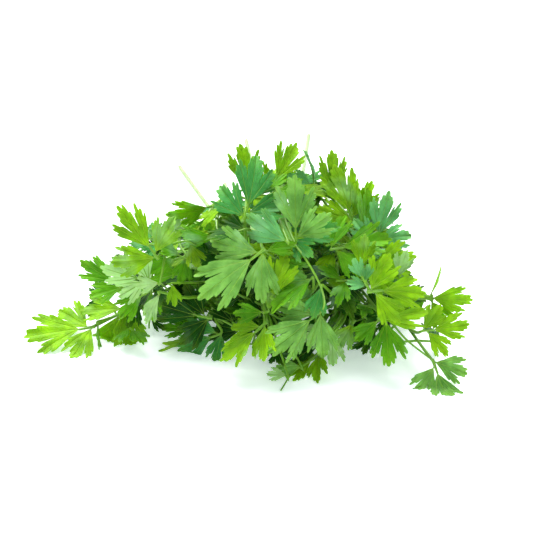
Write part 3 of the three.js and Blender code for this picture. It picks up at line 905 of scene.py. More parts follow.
def vein_path(leaflet, turn, start):
    """Middle line of a main vein, a little below the blade's middle."""
    turns, reaches = blade_columns(leaflet, TOOTH_STEPS)
    nearest = int(np.argmin(np.abs(np.array(turns) - turn)))
    grid, _ = blade_surface(leaflet, turns, reaches, VEIN_ROWS)
    foot = leaflet.root - leaflet.along * BLADE_ROOT_SINK
    path = [start] if start else []
    for forward, across, rise in grid[nearest]:
        point = foot + leaflet.along * forward + leaflet.side * across
        point += leaflet.face * (rise - VEIN_SINK)
        point.z = max(point.z, MIDRIB_RADIUS[0])
        path.append(point)
    return path


def tapered(radii, count):
    return [between(*radii, i / (count - 1)) for i in range(count)]


def add_veins(paths, leaflet):
    midrib = vein_path(leaflet, 0, leaflet.root - leaflet.along * BLADE_ROOT_SINK)
    paths.add(midrib, tapered(MIDRIB_RADIUS, len(midrib)))
    for turn in (-SIDE_VEIN, SIDE_VEIN):
        path = vein_path(leaflet, turn, None)
        paths.add(path, tapered(SIDE_VEIN_RADIUS, len(path)))


def frond_stems(frond):
    """Stalk, branches and main veins of a frond."""
    paths = StemPaths()
    shares = [i / STALK_POINTS for i in range(STALK_POINTS + 1)]
    radii = [between(STALK_BUTT_RADIUS, STALK_TIP_RADIUS, share) for share in shares]
    paths.add([frond.line.point(share) for share in shares], radii)
    for spray in frond.sprays:
        centres = list(spray.centres)
        if spray.share != 1:
            centres[0] = frond.line.point(spray.share)
        path = smooth_path(centres, BRANCH_POINTS)
        paths.add(path, tapered((BRANCH_FOOT_RADIUS, BRANCH_TIP_RADIUS * BRANCH_SLIMMING), len(path)))
        for leaflet in spray.leaflets:
            add_veins(paths, leaflet)
    if frond.name in PETIOLES:
        path = smooth_path([Vector(point) for point in PETIOLES[frond.name]], BRANCH_POINTS)
        paths.add(path, tapered(PETIOLE_RADIUS, len(path)))
    for spray in small_sprays()[frond.name]:
        path = smooth_path(spray.centres, BRANCH_POINTS // 2)
        paths.add(path, tapered(PETIOLE_RADIUS, len(path)))
    return paths


def coarse_blade(leaflet):
    """Corners and triangles of a blade's middle, for testing what it meets."""
    corners = rim_corners(leaflet, 0)[::2]
    neck = leaflet.root + leaflet.along * BLADE_NECK
    fans = [(0, i, i + 1) for i in range(1, len(corners))]
    return [neck, *corners], fans


def inside_box(points):
    low = (CAD_LOW / MM) + BUNCH_CENTRE + Vector((FILL_EDGE, FILL_EDGE, FILL_FLOOR))
    high = (CAD_HIGH / MM) + BUNCH_CENTRE - Vector((FILL_EDGE, FILL_EDGE, FILL_EDGE))
    return all(low[k] < point[k] < high[k] for point in points for k in range(3))


def inside_mound(points):
    """Whether every point shows between the upper and the lower edge of the pile."""
    for point in points:
        off = point - CAMERA_TARGET
        scale = CAMERA_DISTANCE / (CAMERA_DISTANCE - off.dot(VIEW_NEAR))
        across, up = off.dot(VIEW_RIGHT) * scale, off.dot(VIEW_UP) * scale
        if not np.interp(across, *zip(*MOUND_FOOT)) < up < np.interp(across, *zip(*MOUND_TOP)):
            return False
    return True


def solids_tree():
    """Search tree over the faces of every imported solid, in the table's millimetres."""
    points, faces = [], []
    for node in frame["nodes"].values():
        first = len(points)
        points += [corner.co / MM + BUNCH_CENTRE for corner in node.data.vertices]
        faces += [tuple(first + i for i in face.vertices) for face in node.data.polygons]
    return BVHTree.FromPolygons(points, faces)


def small_spray(line, place, side_sign, draw, index):
    """Spray beside a stalk, somewhere between facing up and facing the front."""
    share = stalk_share(place)
    stem = line.tangent(share)
    side = Vector((stem.y, -stem.x, 0)).normalized() * side_sign
    foot = line.point(share)
    hub = foot + side * draw(*FILL_REACH) + SKY * draw(*FILL_LIFT)
    along = (side + stem * draw(*FILL_BACK) + SKY * draw(*FILL_RISE)).normalized()
    toward = SKY + VIEW_NEAR * draw(*FILL_FACE_FRONT)
    face = (toward - along * along.dot(toward)).normalized()
    length = draw(*FILL_LENGTH)
    return Spray(line, share, hub, along, face, length, 3, math.radians(FILL_SPREAD), tone_at(hub, index))


def low_spray(fronds, number, draw):
    """Spray low at the front, from the nearest stalk, and the frond of that stalk."""
    low, high = UNDERGROWTH_SPAN
    across = between(low, high, (number + draw(0, 1)) / UNDERGROWTH)
    front = np.interp(across, *zip(*UNDERGROWTH_FRONT))
    hub = Vector((across, front + draw(*UNDERGROWTH_DEPTH), draw(*UNDERGROWTH_HEIGHT)))
    places = [(frond, i / STALK_POINTS) for frond in fronds for i in range(STALK_POINTS // 2, STALK_POINTS)]
    frond, share = min(places, key=lambda place: (place[0].line.point(place[1]) - hub).length)
    along = Vector([draw(*span) for span in UNDERGROWTH_AIM]).normalized()
    toward = VIEW_NEAR + SKY * draw(*UNDERGROWTH_FACE_UP)
    face = (toward - along * along.dot(toward)).normalized()
    tone = UNDERGROWTH_SHADE_TONES[number % len(UNDERGROWTH_SHADE_TONES)]
    length = draw(*FILL_LENGTH)
    return frond, Spray(frond.line, share, hub, along, face, length, 3, math.radians(FILL_SPREAD), tone)


class ClearGround:
    """Lets small leaflets in only where they meet no solid and no other small leaflet."""

    def __init__(self):
        self.solids = solids_tree()
        self.grown = []

    def free(self, leaflet):
        points, faces = coarse_blade(leaflet)
        tree = BVHTree.FromPolygons(points, faces)
        if not inside_box(points) or not inside_mound(points) or self.solids.overlap(tree):
            return False
        if any(other.overlap(tree) for other in self.grown):
            return False
        self.grown.append(tree)
        return True

    def settle(self, spray, index):
        """Keeps the spray's free leaflets and says whether it has any."""
        spray.index = index
        spray.leaflets = [leaflet for leaflet in spray_leaflets(spray) if self.free(leaflet)]
        for leaflet in spray.leaflets:
            leaflet.side = leaflet.face.cross(leaflet.along)
        end = spray.hub + spray.along * end_stem(spray)
        spray.centres = [spray.line.point(spray.share), spray.hub, end]
        return bool(spray.leaflets)


def grow_extras(ground, fronds, sprays):
    """Small sprays of the table that show."""
    lines = {frond.name: frond.line for frond in fronds}
    for number, (name, row) in enumerate(EXTRAS):
        spray = shown_spray(lines[name], row)
        if ground.settle(spray, EXTRA_SEED + number):
            sprays[name].append(spray)


def grow_undergrowth(ground, fronds, sprays):
    """Sprays low at the front in dark tones of painted shade, each at the first free place of a few."""
    draw = draws(UNDERGROWTH_SEED)
    for number in range(UNDERGROWTH):
        for attempt in range(UNDERGROWTH_TRIES):
            frond, spray = low_spray(fronds, number, draw)
            if ground.settle(spray, UNDERGROWTH_SEED + number * UNDERGROWTH_TRIES + attempt):
                sprays[frond.name].append(spray)
                break


def grow_filling(ground, fronds, sprays):
    """Sprays on both sides of every stalk inside the pile."""
    draw = draws(FILL_SEED)
    index = FILL_SEED
    for frond in fronds:
        for place in FILL_PLACES:
            for side_sign in (1, -1):
                index += 1
                spray = small_spray(frond.line, place, side_sign, draw, index)
                if ground.settle(spray, index):
                    sprays[frond.name].append(spray)


@functools.lru_cache(maxsize=1)
def small_sprays():
    """Small sprays of every frond, their leaflets clear of the solids and of one another."""
    ground = ClearGround()
    fronds = bunch()
    sprays = {frond.name: [] for frond in fronds}
    for grow in (grow_extras, grow_undergrowth, grow_filling):
        grow(ground, fronds, sprays)
    return sprays


def leaflet_shape(number):
    """Small leaflet on its own, along Y with its upper side up, the size that the points scale."""
    draw = draws(SHAPE_SEED - number)
    form = [draw(*span) for span in (HALF_SPREAD, DROOP, FOLD)]
    leaflet = Leaflet(Vector(), Vector((0, 1, 0)), SKY.copy(), FILL_SHAPE_LENGTH, *form, "mid", number)
    leaflet.side = leaflet.face.cross(leaflet.along)
    sheets = BladeSheets()
    sheets.add(leaflet, SMALL_TOOTH_STEPS, SMALL_BLADE_ROWS, None)
    sheets.points = [point * MM for point in sheets.points]
    return bpy.data.objects.new(f"shape_{number}", sheets.mesh(f"shape_{number}"))


def scatter_points(name, leaflets, tones):
    """Points for the small leaflets with their turn, size, shape and tone."""
    mesh = bpy.data.meshes.new(name)
    mesh.from_pydata([on_part(leaflet.root) for leaflet in leaflets], [], [])
    turns = []
    for leaflet in leaflets:
        axes = Matrix((-leaflet.side, leaflet.along, leaflet.face)).transposed()
        turns.append(tuple(axes.to_euler()))
    columns = (
        ("turn", "FLOAT_VECTOR", "vector", turns),
        ("size", "FLOAT", "value", [leaflet.length / FILL_SHAPE_LENGTH for leaflet in leaflets]),
        ("shape", "INT", "value", [leaflet.seed % FILL_SHAPES for leaflet in leaflets]),
        ("tone", "FLOAT_COLOR", "color", [opaque(tones[leaflet.tone]) for leaflet in leaflets]),
    )
    for label, kind, key, values in columns:
        attribute = mesh.attributes.new(label, kind, "POINT")
        attribute.data.foreach_set(key, np.array(values).ravel())
    return mesh


class Wiring:
    """Adds and links the nodes of one tree."""

    def __init__(self, tree):
        self.tree = tree

    def node(self, kind, inputs=None, **settings):
        made = self.tree.nodes.new(kind)
        for key, value in settings.items():
            setattr(made, key, value)
        self.fill(made, inputs or {})
        return made

    def fill(self, node, inputs):
        """Sets or links inputs of a node, given by name or number."""
        for key, value in inputs.items():
            self.feed(node.inputs[key], value)

    def feed(self, socket, value):
        if isinstance(value, bpy.types.NodeSocket):
            self.tree.links.new(value, socket)
        else:
            socket.default_value = value

    def math(self, operation, *values, clamp=False):
        made = self.node("ShaderNodeMath", operation=operation, use_clamp=clamp)
        for socket, value in zip(made.inputs, values):
            self.feed(socket, value)
        return made.outputs[0]

    def blend(self, share, low, high):
        """Colour between the low and the high one."""
        made = self.node("ShaderNodeMix", data_type="RGBA")
        for socket, value in zip((made.inputs[0], made.inputs[6], made.inputs[7]), (share, low, high)):
            self.feed(socket, value)
        return made.outputs[2]

    def ramp(self, value, low, high):
        """0 below the low value, 1 above the high one, smooth between."""
        span = self.node("ShaderNodeMapRange", interpolation_type="SMOOTHSTEP")
        for socket, setting in zip(span.inputs, (value, low, high, 0.0, 1.0)):
            self.feed(socket, setting)
        return span.outputs[0]


def fresh_material(name):
    """New material with its wiring and its shader."""
    material = bpy.data.materials.new(name)
    material.use_nodes = True
    wiring = Wiring(material.node_tree)
    return material, wiring, material.node_tree.nodes["Principled BSDF"]


def opaque(colour):
    return (*colour, 1.0)


def vein_masks(wiring):
    """Main and fine veins of a blade from its own coordinates, 0 off them and 1 on them."""
    place = wiring.node("ShaderNodeUVMap", uv_map="blade").outputs[0]
    split = wiring.node("ShaderNodeSeparateXYZ", {0: place})
    off_middle = wiring.math("ABSOLUTE", wiring.math("MULTIPLY_ADD", split.outputs[0], 2.0, -1.0))
    reach = split.outputs[1]
    off_side = wiring.math("ABSOLUTE", wiring.math("SUBTRACT", off_middle, SIDE_VEIN))
    nearest = wiring.math("MINIMUM", off_middle, off_side)
    apart = wiring.math("MULTIPLY", nearest, reach)
    width = wiring.math("MULTIPLY_ADD", reach, -VEIN_NARROWING, VEIN_WIDTH)
    main = wiring.math("SUBTRACT", 1.0, wiring.math("DIVIDE", apart, width), clamp=True)
    slanted = wiring.math("MULTIPLY_ADD", nearest, -FINE_VEIN_SLANT, reach)
    wave = wiring.math("PINGPONG", wiring.math("MULTIPLY", slanted, FINE_VEINS), 0.5)
    fine = wiring.math("SUBTRACT", 1.0, wiring.math("DIVIDE", wave, FINE_VEIN_WIDTH), clamp=True)
    return main, fine, reach


def noise(wiring, scale, detail, stretch=None):
    """Noise on the piece's own coordinates, stretched where asked."""
    place = wiring.node("ShaderNodeTexCoord").outputs["Object"]
    if stretch:
        place = wiring.node("ShaderNodeMapping", {"Vector": place, "Scale": stretch}).outputs[0]
    inputs = {"Vector": place, "Scale": scale, "Detail": detail}
    return wiring.node("ShaderNodeTexNoise", inputs).outputs["Fac"]


def pattern(wiring, scale, detail, low, high):
    """Noise that comes in smoothly between two of its values."""
    return wiring.ramp(noise(wiring, scale, detail), low, high)


def blade_tone(wiring, leaf):
    """Tone of the blade, and a function that mixes a colour with it."""
    tone = wiring.node("ShaderNodeAttribute", attribute_name="tone").outputs["Color"]

    def own(colour):
        return wiring.blend(leaf.own_share, opaque(colour), tone)

    return tone, own


def veined(wiring, base, vein, fine, main, shares):
    """Base colour with the fine and then the main veins in the vein colour."""
    for mask, share in zip((fine, main), shares):
        base = wiring.blend(wiring.math("MULTIPLY", mask, share), base, vein)
    return base


def blade_relief(wiring, shader, main, fine, height):
    """Veins and the grain between them as a small relief."""
    veins = wiring.math("MULTIPLY_ADD", fine, FINE_VEIN_RELIEF, main)
    relief = wiring.math("MULTIPLY_ADD", noise(wiring, *GRAIN), GRAIN_RELIEF, veins)
    inputs = {"Strength": RELIEF_STRENGTH, "Distance": abs(height), "Height": relief}
    bump = wiring.node("ShaderNodeBump", inputs, invert=height < 0)
    wiring.fill(shader, {"Normal": bump.outputs[0]})


def upper_material(leaf):
    """Upper side of a blade: its tone, paler veins, a mottle, patches of painted light and shade, bluish
    patches of painted sheen and a soft gloss.
    """
    material, wiring, shader = fresh_material("leaf_upper")
    main, fine, reach = vein_masks(wiring)
    tone, own = blade_tone(wiring, leaf)
    mottle = pattern(wiring, *MOTTLE)
    dim = wiring.blend(leaf.patch_share, tone, opaque(leaf.shade_colour))
    lit = wiring.blend(pattern(wiring, *PATCHES), dim, tone)
    # Bluish patches of painted sheen, a painted highlight over the tone
    sheen = wiring.math("MULTIPLY", pattern(wiring, *SHEEN_PATCHES), leaf.sheen_share)
    patched = wiring.blend(sheen, lit, own(leaf.sheen_colour))
    shaded = wiring.blend(mottle, wiring.blend(MOTTLE_SHARE, patched, opaque(leaf.shade_colour)), patched)
    ribs = veined(wiring, shaded, own(leaf.vein_colour), fine, main, VEIN_SHARES)
    rim = wiring.math("MULTIPLY", wiring.ramp(reach, *RIM_RANGE), RIM_SHARE)
    rough = wiring.math("MULTIPLY_ADD", mottle, MOTTLE_ROUGHNESS, leaf.gloss_roughness)
    wiring.fill(shader, {"Base Color": wiring.blend(rim, ribs, own(leaf.rim_colour)), "Roughness": rough})
    blade_relief(wiring, shader, main, fine, -leaf.relief)
    let_light_through(wiring, shader, leaf)
    return material


def under_material(leaf):
    """Underside of a blade: paler, matter, with raised pale veins."""
    material, wiring, shader = fresh_material("leaf_under")
    main, fine, _ = vein_masks(wiring)
    tone, own = blade_tone(wiring, leaf)
    pale = wiring.blend(leaf.under_share, tone, own(leaf.under_colour))
    dim = wiring.blend(UNDER_MOTTLE_SHARE, pale, opaque(leaf.shade_colour))
    shaded = wiring.blend(pattern(wiring, *UNDER_MOTTLE), dim, pale)
    ribs = veined(wiring, shaded, own(leaf.vein_colour), fine, main, UNDER_VEIN_SHARES)
    wiring.fill(shader, {"Base Color": ribs, "Roughness": UNDER_ROUGHNESS})
    blade_relief(wiring, shader, main, fine, leaf.relief)
    let_light_through(wiring, shader, leaf)
    return material


def let_light_through(wiring, shader, leaf):
    """Light that a thin green blade lets through."""
    wiring.fill(shader, {
        "Subsurface Weight": leaf.glow,
        "Subsurface Radius": leaf.glow_reach,
        "Subsurface Scale": leaf.glow_depth,
        "Specular IOR Level": leaf.gloss,
    })


def stem_material(stem):
    """Juicy green stem, paler towards the cut end, with a fine lengthwise mottle."""
    material, wiring, shader = fresh_material("stem")
    place = wiring.node("ShaderNodeTexCoord").outputs["Object"]
    split = wiring.node("ShaderNodeSeparateXYZ", {0: place})
    bare = wiring.ramp(split.outputs[1], stem.pale_start, stem.pale_end)
    colour = wiring.blend(bare, opaque(stem.leaf_end_colour), opaque(stem.cut_end_colour))
    streak = noise(wiring, *STREAKS, STREAK_STRETCH)
    dark = wiring.blend(STREAK_SHARE, colour, opaque(stem.streak_colour))
    inputs = {"Strength": STEM_RELIEF_STRENGTH, "Distance": STEM_RELIEF, "Height": streak}
    wiring.fill(shader, {
        "Base Color": wiring.blend(wiring.ramp(streak, *STREAK_RANGE), dark, colour),
        "Roughness": STEM_ROUGHNESS,
        "Subsurface Weight": STEM_GLOW,
        "Subsurface Radius": STEM_GLOW_REACH,
        "Subsurface Scale": STEM_GLOW_DEPTH,
        "Normal": wiring.node("ShaderNodeBump", inputs).outputs[0],
    })
    return material


def node_group(name, inputs):
    """New geometry tree with named inputs and a geometry output."""
    tree = bpy.data.node_groups.new(name, "GeometryNodeTree")
    tree.interface.new_socket("Geometry", in_out="INPUT", socket_type="NodeSocketGeometry")
    for label, kind in inputs:
        tree.interface.new_socket(label, in_out="INPUT", socket_type=kind)
    tree.interface.new_socket("Geometry", in_out="OUTPUT", socket_type="NodeSocketGeometry")
    wiring = Wiring(tree)
    return tree, wiring, wiring.node("NodeGroupInput").outputs


def end_tree(wiring, geometry, material):
    """Realizes what was instanced, sets its material and ends the tree."""
    real = wiring.node("GeometryNodeRealizeInstances", {0: geometry}).outputs[0]
    painted = wiring.node("GeometryNodeSetMaterial", {"Geometry": real, "Material": material})
    wiring.node("NodeGroupOutput", {0: painted.outputs[0]})


def stem_tree():
    """Tree that runs a ribbed tube of the named thickness along every path."""
    inputs = (("Ribs", "NodeSocketInt"), ("Rib depth", "NodeSocketFloat"), ("Material", "NodeSocketMaterial"))
    tree, wiring, given = node_group("Ribbed stems", inputs)
    paths = wiring.node("GeometryNodeMeshToCurve", {0: given["Geometry"]}).outputs[0]
    thickness = wiring.node("GeometryNodeInputNamedAttribute", {"Name": "thickness"}, data_type="FLOAT")
    corners = wiring.math("MULTIPLY", given["Ribs"], 2.0)
    circle = wiring.node("GeometryNodeCurvePrimitiveCircle", {"Resolution": corners, "Radius": 1.0})
    index = wiring.node("GeometryNodeInputIndex").outputs[0]
    groove = wiring.math("MODULO", index, 2.0)
    inward = wiring.math("MULTIPLY", groove, wiring.math("MULTIPLY", given["Rib depth"], -1.0))
    place = wiring.node("GeometryNodeInputPosition").outputs[0]
    offset = wiring.node("ShaderNodeVectorMath", {0: place, "Scale": inward}, operation="SCALE")
    inputs = {"Geometry": circle.outputs[0], "Offset": offset.outputs[0]}
    ribbed = wiring.node("GeometryNodeSetPosition", inputs).outputs[0]
    inputs = {"Curve": paths, "Profile Curve": ribbed, "Scale": thickness.outputs[0], "Fill Caps": True}
    tube = wiring.node("GeometryNodeCurveToMesh", inputs).outputs[0]
    smooth = wiring.node("GeometryNodeSetShadeSmooth", {"Geometry": tube, "Shade Smooth": True})
    end_tree(wiring, smooth.outputs[0], given["Material"])
    return tree


def scatter_tree():
    """Tree that sets one of the small leaflets on every point, turned and sized as the point says."""
    inputs = (("Shapes", "NodeSocketCollection"), ("Material", "NodeSocketMaterial"))
    tree, wiring, given = node_group("Small leaflets", inputs)

    def named(name, kind):
        return wiring.node("GeometryNodeInputNamedAttribute", {"Name": name}, data_type=kind).outputs[0]

    inputs = {"Collection": given["Shapes"], "Separate Children": True, "Reset Children": True}
    shapes = wiring.node("GeometryNodeCollectionInfo", inputs).outputs[0]
    turn = wiring.node("FunctionNodeEulerToRotation", {0: named("turn", "FLOAT_VECTOR")}).outputs[0]
    inputs = {
        "Points": wiring.node("GeometryNodeMeshToPoints", {"Mesh": given["Geometry"]}).outputs[0],
        "Instance": shapes,
        "Pick Instance": True,
        "Instance Index": named("shape", "INT"),
        "Rotation": turn,
        "Scale": named("size", "FLOAT"),
    }
    placed = wiring.node("GeometryNodeInstanceOnPoints", inputs).outputs[0]
    end_tree(wiring, placed, given["Material"])
    return tree


def linked(name, mesh):
    piece = bpy.data.objects.new(name, mesh)
    bpy.context.scene.collection.objects.link(piece)
    return piece


def settled(piece):
    """Swaps the piece's mesh for what its modifiers make, and drops them."""
    evaluated = piece.evaluated_get(bpy.context.evaluated_depsgraph_get())
    mesh = bpy.data.meshes.new_from_object(evaluated)
    mesh.name = piece.name
    old = piece.data
    piece.modifiers.clear()
    piece.data = mesh
    bpy.data.meshes.remove(old)
    return piece


def lift_to_floor(piece):
    """Lifts to the floor what would be under it."""
    places = np.zeros(len(piece.data.vertices) * 3, dtype=np.float32)
    piece.data.vertices.foreach_get("co", places)
    places[2::3] = np.maximum(places[2::3], 0)
    piece.data.vertices.foreach_set("co", places)


def run_tree(piece, tree, values):
    """Runs a geometry tree on the piece with its named inputs set."""
    modifier = piece.modifiers.new(tree.name, "NODES")
    modifier.node_group = tree
    for item in tree.interface.items_tree:
        if item.name in values and item.in_out == "INPUT":
            modifier[item.identifier] = values[item.name]
    return settled(piece)


def thicken(piece, leaf):
    """Gives the blades their thickness, with the paler material below."""
    solid = piece.modifiers.new("Blade", "SOLIDIFY")
    solid.thickness = leaf.thickness
    solid.offset = 0
    solid.use_even_offset = False
    solid.material_offset = 1
    settled(piece)
    piece.data.set_sharp_from_angle(angle=SHARP_EDGE)
    return piece


def hand_over(piece, *nodes):
    """Lifts to the floor what would be under it, hangs the piece on what it rides on and hides the solids it
    stands for.
    """
    lift_to_floor(piece)
    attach(piece, BODY)
    if nodes:
        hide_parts(*nodes)


def leaf_tones(leaf):
    return {
        name: tuple(getattr(leaf, name + "_colour"))
        for name in ("bright", "mid", "light", "blue", "deep", "dark", "pale", "mint", "olive")
    }


def material_once(name, make, settings):
    return bpy.data.materials.get(name) or make(settings)


def leaf_materials(leaf):
    return [
        material_once("leaf_upper", upper_material, leaf),
        material_once("leaf_under", under_material, leaf),
    ]


def colour_property(name, description, default):
    return FloatVectorProperty(
        name=name, description=description, default=default, subtype="COLOR", min=0, max=1
    )


def share_property(name, description, default):
    return FloatProperty(name=name, description=description, default=default, subtype="FACTOR")


def strength_property(name, description, default):
    return FloatProperty(name=name, description=description, default=default, min=0)


def length_property(name, description, millimetres):
    return FloatProperty(
        name=name, description=description, default=millimetres * MM, unit="LENGTH", precision=5
    )


class ParsleyLeafSettings(bpy.types.PropertyGroup):
    """Sizes and colours of the blades"""

    thickness: length_property("Thickness", "Thickness of a blade", 0.4)
    relief: length_property("Relief", "Height of the veins", 0.65)
    glow: share_property("Glow", "Share of light let through", 0.35)
    glow_depth: length_property("Glow depth", "How far light goes in a blade", 1.1)
    glow_reach: colour_property("Glow reach", "Share of the depth for each colour", (0.6, 1.0, 0.18))
    gloss_roughness: share_property("Roughness", "Roughness of the upper side", 0.4)
    gloss: share_property("Gloss", "Strength of the wax gloss", 0.12)
    patch_share: share_property("Patches", "How much paler and darker patches differ", 0.4)
    own_share: share_property("Own tone", "How much veins, rim and wax keep of the leaf's tone", 0.5)
    # Strength of the painted sheen patches
    sheen_share: share_property("Wax strength", "Strength of the bluish wax", 0.7)
    under_share: share_property("Underside share", "How pale the underside is", 0.45)
    bright_colour: colour_property("Bright", "Young leaves in the light", (0.27, 0.55, 0.003))
    mid_colour: colour_property("Mid", "Most leaves", (0.115, 0.37, 0.004))
    light_colour: colour_property("Light", "Matte light green leaves", (0.22, 0.49, 0.09))
    blue_colour: colour_property("Bluish", "Older bluish leaves", (0.065, 0.32, 0.065))
    # Deep and dark are painted shade: tones for leaves that lie in the shade inside the pile and at its
    # bottom
    deep_colour: colour_property("Deep", "Leaves inside the pile", (0.01, 0.085, 0.0015))
    dark_colour: colour_property("Dark", "Leaves at the bottom", (0.0025, 0.034, 0.001))
    pale_colour: colour_property("Pale", "Silvery leaves", (0.4, 0.66, 0.24))
    mint_colour: colour_property("Mint", "Leaves with a bluish wax", (0.15, 0.46, 0.15))
    olive_colour: colour_property("Olive", "Yellowish leaves", (0.19, 0.37, 0.004))
    shade_colour: colour_property("Mottle", "Darker spots", (0.012, 0.11, 0.002))
    # Colour of the painted sheen, a pale bluish painted highlight
    sheen_colour: colour_property("Sheen", "Bluish wax on older leaves", (0.42, 0.7, 0.42))
    vein_colour: colour_property("Veins", "Veins", (0.38, 0.62, 0.06))
    rim_colour: colour_property("Rim", "Tips of the teeth", (0.38, 0.64, 0.03))
    under_colour: colour_property("Underside", "Underside", (0.36, 0.6, 0.18))


class ParsleyStemSettings(bpy.types.PropertyGroup):
    """Sizes and colours of the stems"""

    ribs: IntProperty(name="Ribs", description="Ribs round a stem", default=6, min=3)
    rib_depth: share_property("Rib depth", "Depth between ribs as a share of the radius", 0.14)
    pale_start: length_property("Pale from", "Where stems turn pale, from the part's middle", -70)
    pale_end: length_property("Pale to", "Where stems are palest, from the part's middle", 120)
    leaf_end_colour: colour_property("Leaf end", "Stems among the leaves", (0.17, 0.38, 0.02))
    cut_end_colour: colour_property("Cut end", "Stems at the cut", (0.42, 0.555, 0.27))
    streak_colour: colour_property("Streaks", "Lengthwise streaks", (0.09, 0.25, 0.012))


class ParsleyStageSettings(bpy.types.PropertyGroup):
    """Floor and light"""

    floor_colour: colour_property("Floor", "Pale floor", (0.93, 0.94, 0.94))
    sky_colour: colour_property("Surroundings tint", "Tint of the soft surroundings", (0.86, 1.0, 0.96))
    sky_strength: strength_property("Surroundings", "Strength of the soft surroundings", 0.36)
    table_glow: strength_property("Table glow", "Light from the pale floor itself", 0.4)
    key_strength: strength_property("Overhead light", "Strength of the overhead light", 6.6)
    fill_strength: strength_property("Front light", "Strength of the front light", 0.9)


class PARSLEY_OT_stems(bpy.types.Operator):
    """Grow the stalks, branches and main veins of every frond"""

    bl_idname = "parsley.stems"
    bl_label = "Stems"

    def execute(self, context):
        stem = context.scene.parsley_stem
        material = material_once("stem", stem_material, stem)
        tree = stem_tree()
        for frond in bunch():
            name = frond.name.replace("frond", "stems")
            piece = linked(name, frond_stems(frond).mesh(name))
            values = {"Ribs": stem.ribs, "Rib depth": stem.rib_depth, "Material": material}
            hand_over(run_tree(piece, tree, values), frond.name)
        return {"FINISHED"}


class PARSLEY_OT_leaves(bpy.types.Operator):
    """Grow the toothed leaflets of every frond"""

    bl_idname = "parsley.leaves"
    bl_label = "Leaflets"

    def execute(self, context):
        leaf = context.scene.parsley_leaf
        tones = leaf_tones(leaf)
        for frond in bunch():
            sheets = BladeSheets()
            for spray in frond.sprays:
                for leaflet in spray.leaflets:
                    sheets.add(leaflet, TOOTH_STEPS, BLADE_ROWS, leaf.thickness / MM)
            name = frond.name.replace("frond", "leaves")
            sheets.points = [on_part(point) for point in sheets.points]
            piece = linked(name, sheets.mesh(name, tones))
            for material in leaf_materials(leaf):
                piece.data.materials.append(material)
            hand_over(thicken(piece, leaf), frond.name)
        return {"FINISHED"}


class PARSLEY_OT_small_leaves(bpy.types.Operator):
    """Fill the pile with small leaflets"""

    bl_idname = "parsley.small_leaves"
    bl_label = "Small leaflets"

    def execute(self, context):
        leaf = context.scene.parsley_leaf
        tones = leaf_tones(leaf)
        tree = scatter_tree()
        upper, under = leaf_materials(leaf)
        shapes = bpy.data.collections.new("Leaflet shapes")
        for number in range(FILL_SHAPES):
            shapes.objects.link(leaflet_shape(number))
        for name, sprays in small_sprays().items():
            leaflets = [leaflet for spray in sprays for leaflet in spray.leaflets]
            if not leaflets:
                continue
            label = name.replace("frond", "small_leaves")
            piece = linked(label, scatter_points(label, leaflets, tones))
            run_tree(piece, tree, {"Shapes": shapes, "Material": upper})
            piece.data.materials.append(under)
            hand_over(thicken(piece, leaf))
        for shape in list(shapes.objects):
            bpy.data.objects.remove(shape)
        bpy.data.collections.remove(shapes)
        return {"FINISHED"}


class PARSLEY_OT_stage(bpy.types.Operator):
    """Set the floor, the soft light and the camera"""

    bl_idname = "parsley.stage"
    bl_label = "Studio"

    def execute(self, context):
        stage = context.scene.parsley_stage
        build_floor(stage)
        build_lights(stage)
        build_camera()
        context.scene.view_settings.view_transform = "Standard"
        return {"FINISHED"}


def build_floor(stage):
    corners = [(-1, -1), (1, -1), (1, 1), (-1, 1)]
    mesh = bpy.data.meshes.new("floor")
    mesh.from_pydata([(x * FLOOR_HALF, y * FLOOR_HALF, 0) for x, y in corners], [], [(0, 1, 2, 3)])
    floor = linked("floor", mesh)
    material, wiring, shader = fresh_material("floor")
    lifted = tuple(min(1.0, share * FLOOR_CLOUD_LIFT) for share in stage.floor_colour)
    clouds = pattern(wiring, *FLOOR_CLOUDS)
    wiring.fill(shader, {
        "Base Color": wiring.blend(clouds, opaque(stage.floor_colour), opaque(lifted)),
        "Roughness": FLOOR_ROUGHNESS,
        "Specular IOR Level": FLOOR_GLOSS,
        "Emission Color": opaque(stage.sky_colour),
        "Emission Strength": stage.table_glow,
    })
    mesh.materials.append(material)


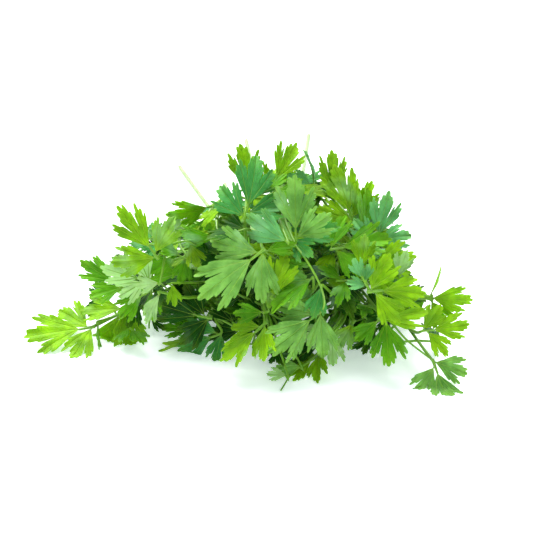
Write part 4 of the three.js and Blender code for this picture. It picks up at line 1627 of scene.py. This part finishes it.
def build_lights(stage):
    middle = on_part(CAMERA_TARGET)
    for name, source, width, strength in LIGHTS:
        light = bpy.data.lights.new(name, "SUN")
        light.angle = math.radians(width)
        light.energy = getattr(stage, strength)
        lamp = linked(name, light)
        lamp.location = middle + Vector(source)
        lamp.rotation_euler = Vector(source).to_track_quat("Z", "Y").to_euler()
    world = bpy.data.worlds.new("surroundings")
    world.use_nodes = True
    background = world.node_tree.nodes["Background"]
    background.inputs["Color"].default_value = opaque(stage.sky_colour)
    background.inputs["Strength"].default_value = stage.sky_strength
    bpy.context.scene.world = world


def build_camera():
    data = bpy.data.cameras.new("camera")
    data.lens = CAMERA_LENS
    camera = linked("camera", data)
    camera.location = on_part(CAMERA_TARGET + VIEW_NEAR * CAMERA_DISTANCE)
    camera.rotation_euler = (math.pi / 2 - READING_ELEVATION, 0, 0)
    bpy.context.scene.camera = camera


class PARSLEY_PT_panel(bpy.types.Panel):
    """Pieces of the bunch"""

    bl_label = "Parsley bunch"
    bl_idname = "PARSLEY_PT_panel"
    bl_space_type = "VIEW_3D"
    bl_region_type = "UI"
    bl_category = "Parsley"

    def draw(self, context):
        for operator in OPERATORS:
            self.layout.operator(operator.bl_idname)


OPERATORS = (PARSLEY_OT_stems, PARSLEY_OT_leaves, PARSLEY_OT_small_leaves, PARSLEY_OT_stage)
SETTINGS = (
    ("parsley_leaf", ParsleyLeafSettings),
    ("parsley_stem", ParsleyStemSettings),
    ("parsley_stage", ParsleyStageSettings),
)


def register():
    for name, settings in SETTINGS:
        bpy.utils.register_class(settings)
        setattr(bpy.types.Scene, name, PointerProperty(type=settings))
    for operator in OPERATORS:
        bpy.utils.register_class(operator)
    bpy.utils.register_class(PARSLEY_PT_panel)


def unregister():
    bpy.utils.unregister_class(PARSLEY_PT_panel)
    for operator in reversed(OPERATORS):
        bpy.utils.unregister_class(operator)
    for name, settings in reversed(SETTINGS):
        delattr(bpy.types.Scene, name)
        bpy.utils.unregister_class(settings)


def main():
    register()
    bpy.ops.parsley.stems()
    bpy.ops.parsley.leaves()
    bpy.ops.parsley.small_leaves()
    bpy.ops.parsley.stage()
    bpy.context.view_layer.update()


if __name__ == "__main__":
    main()
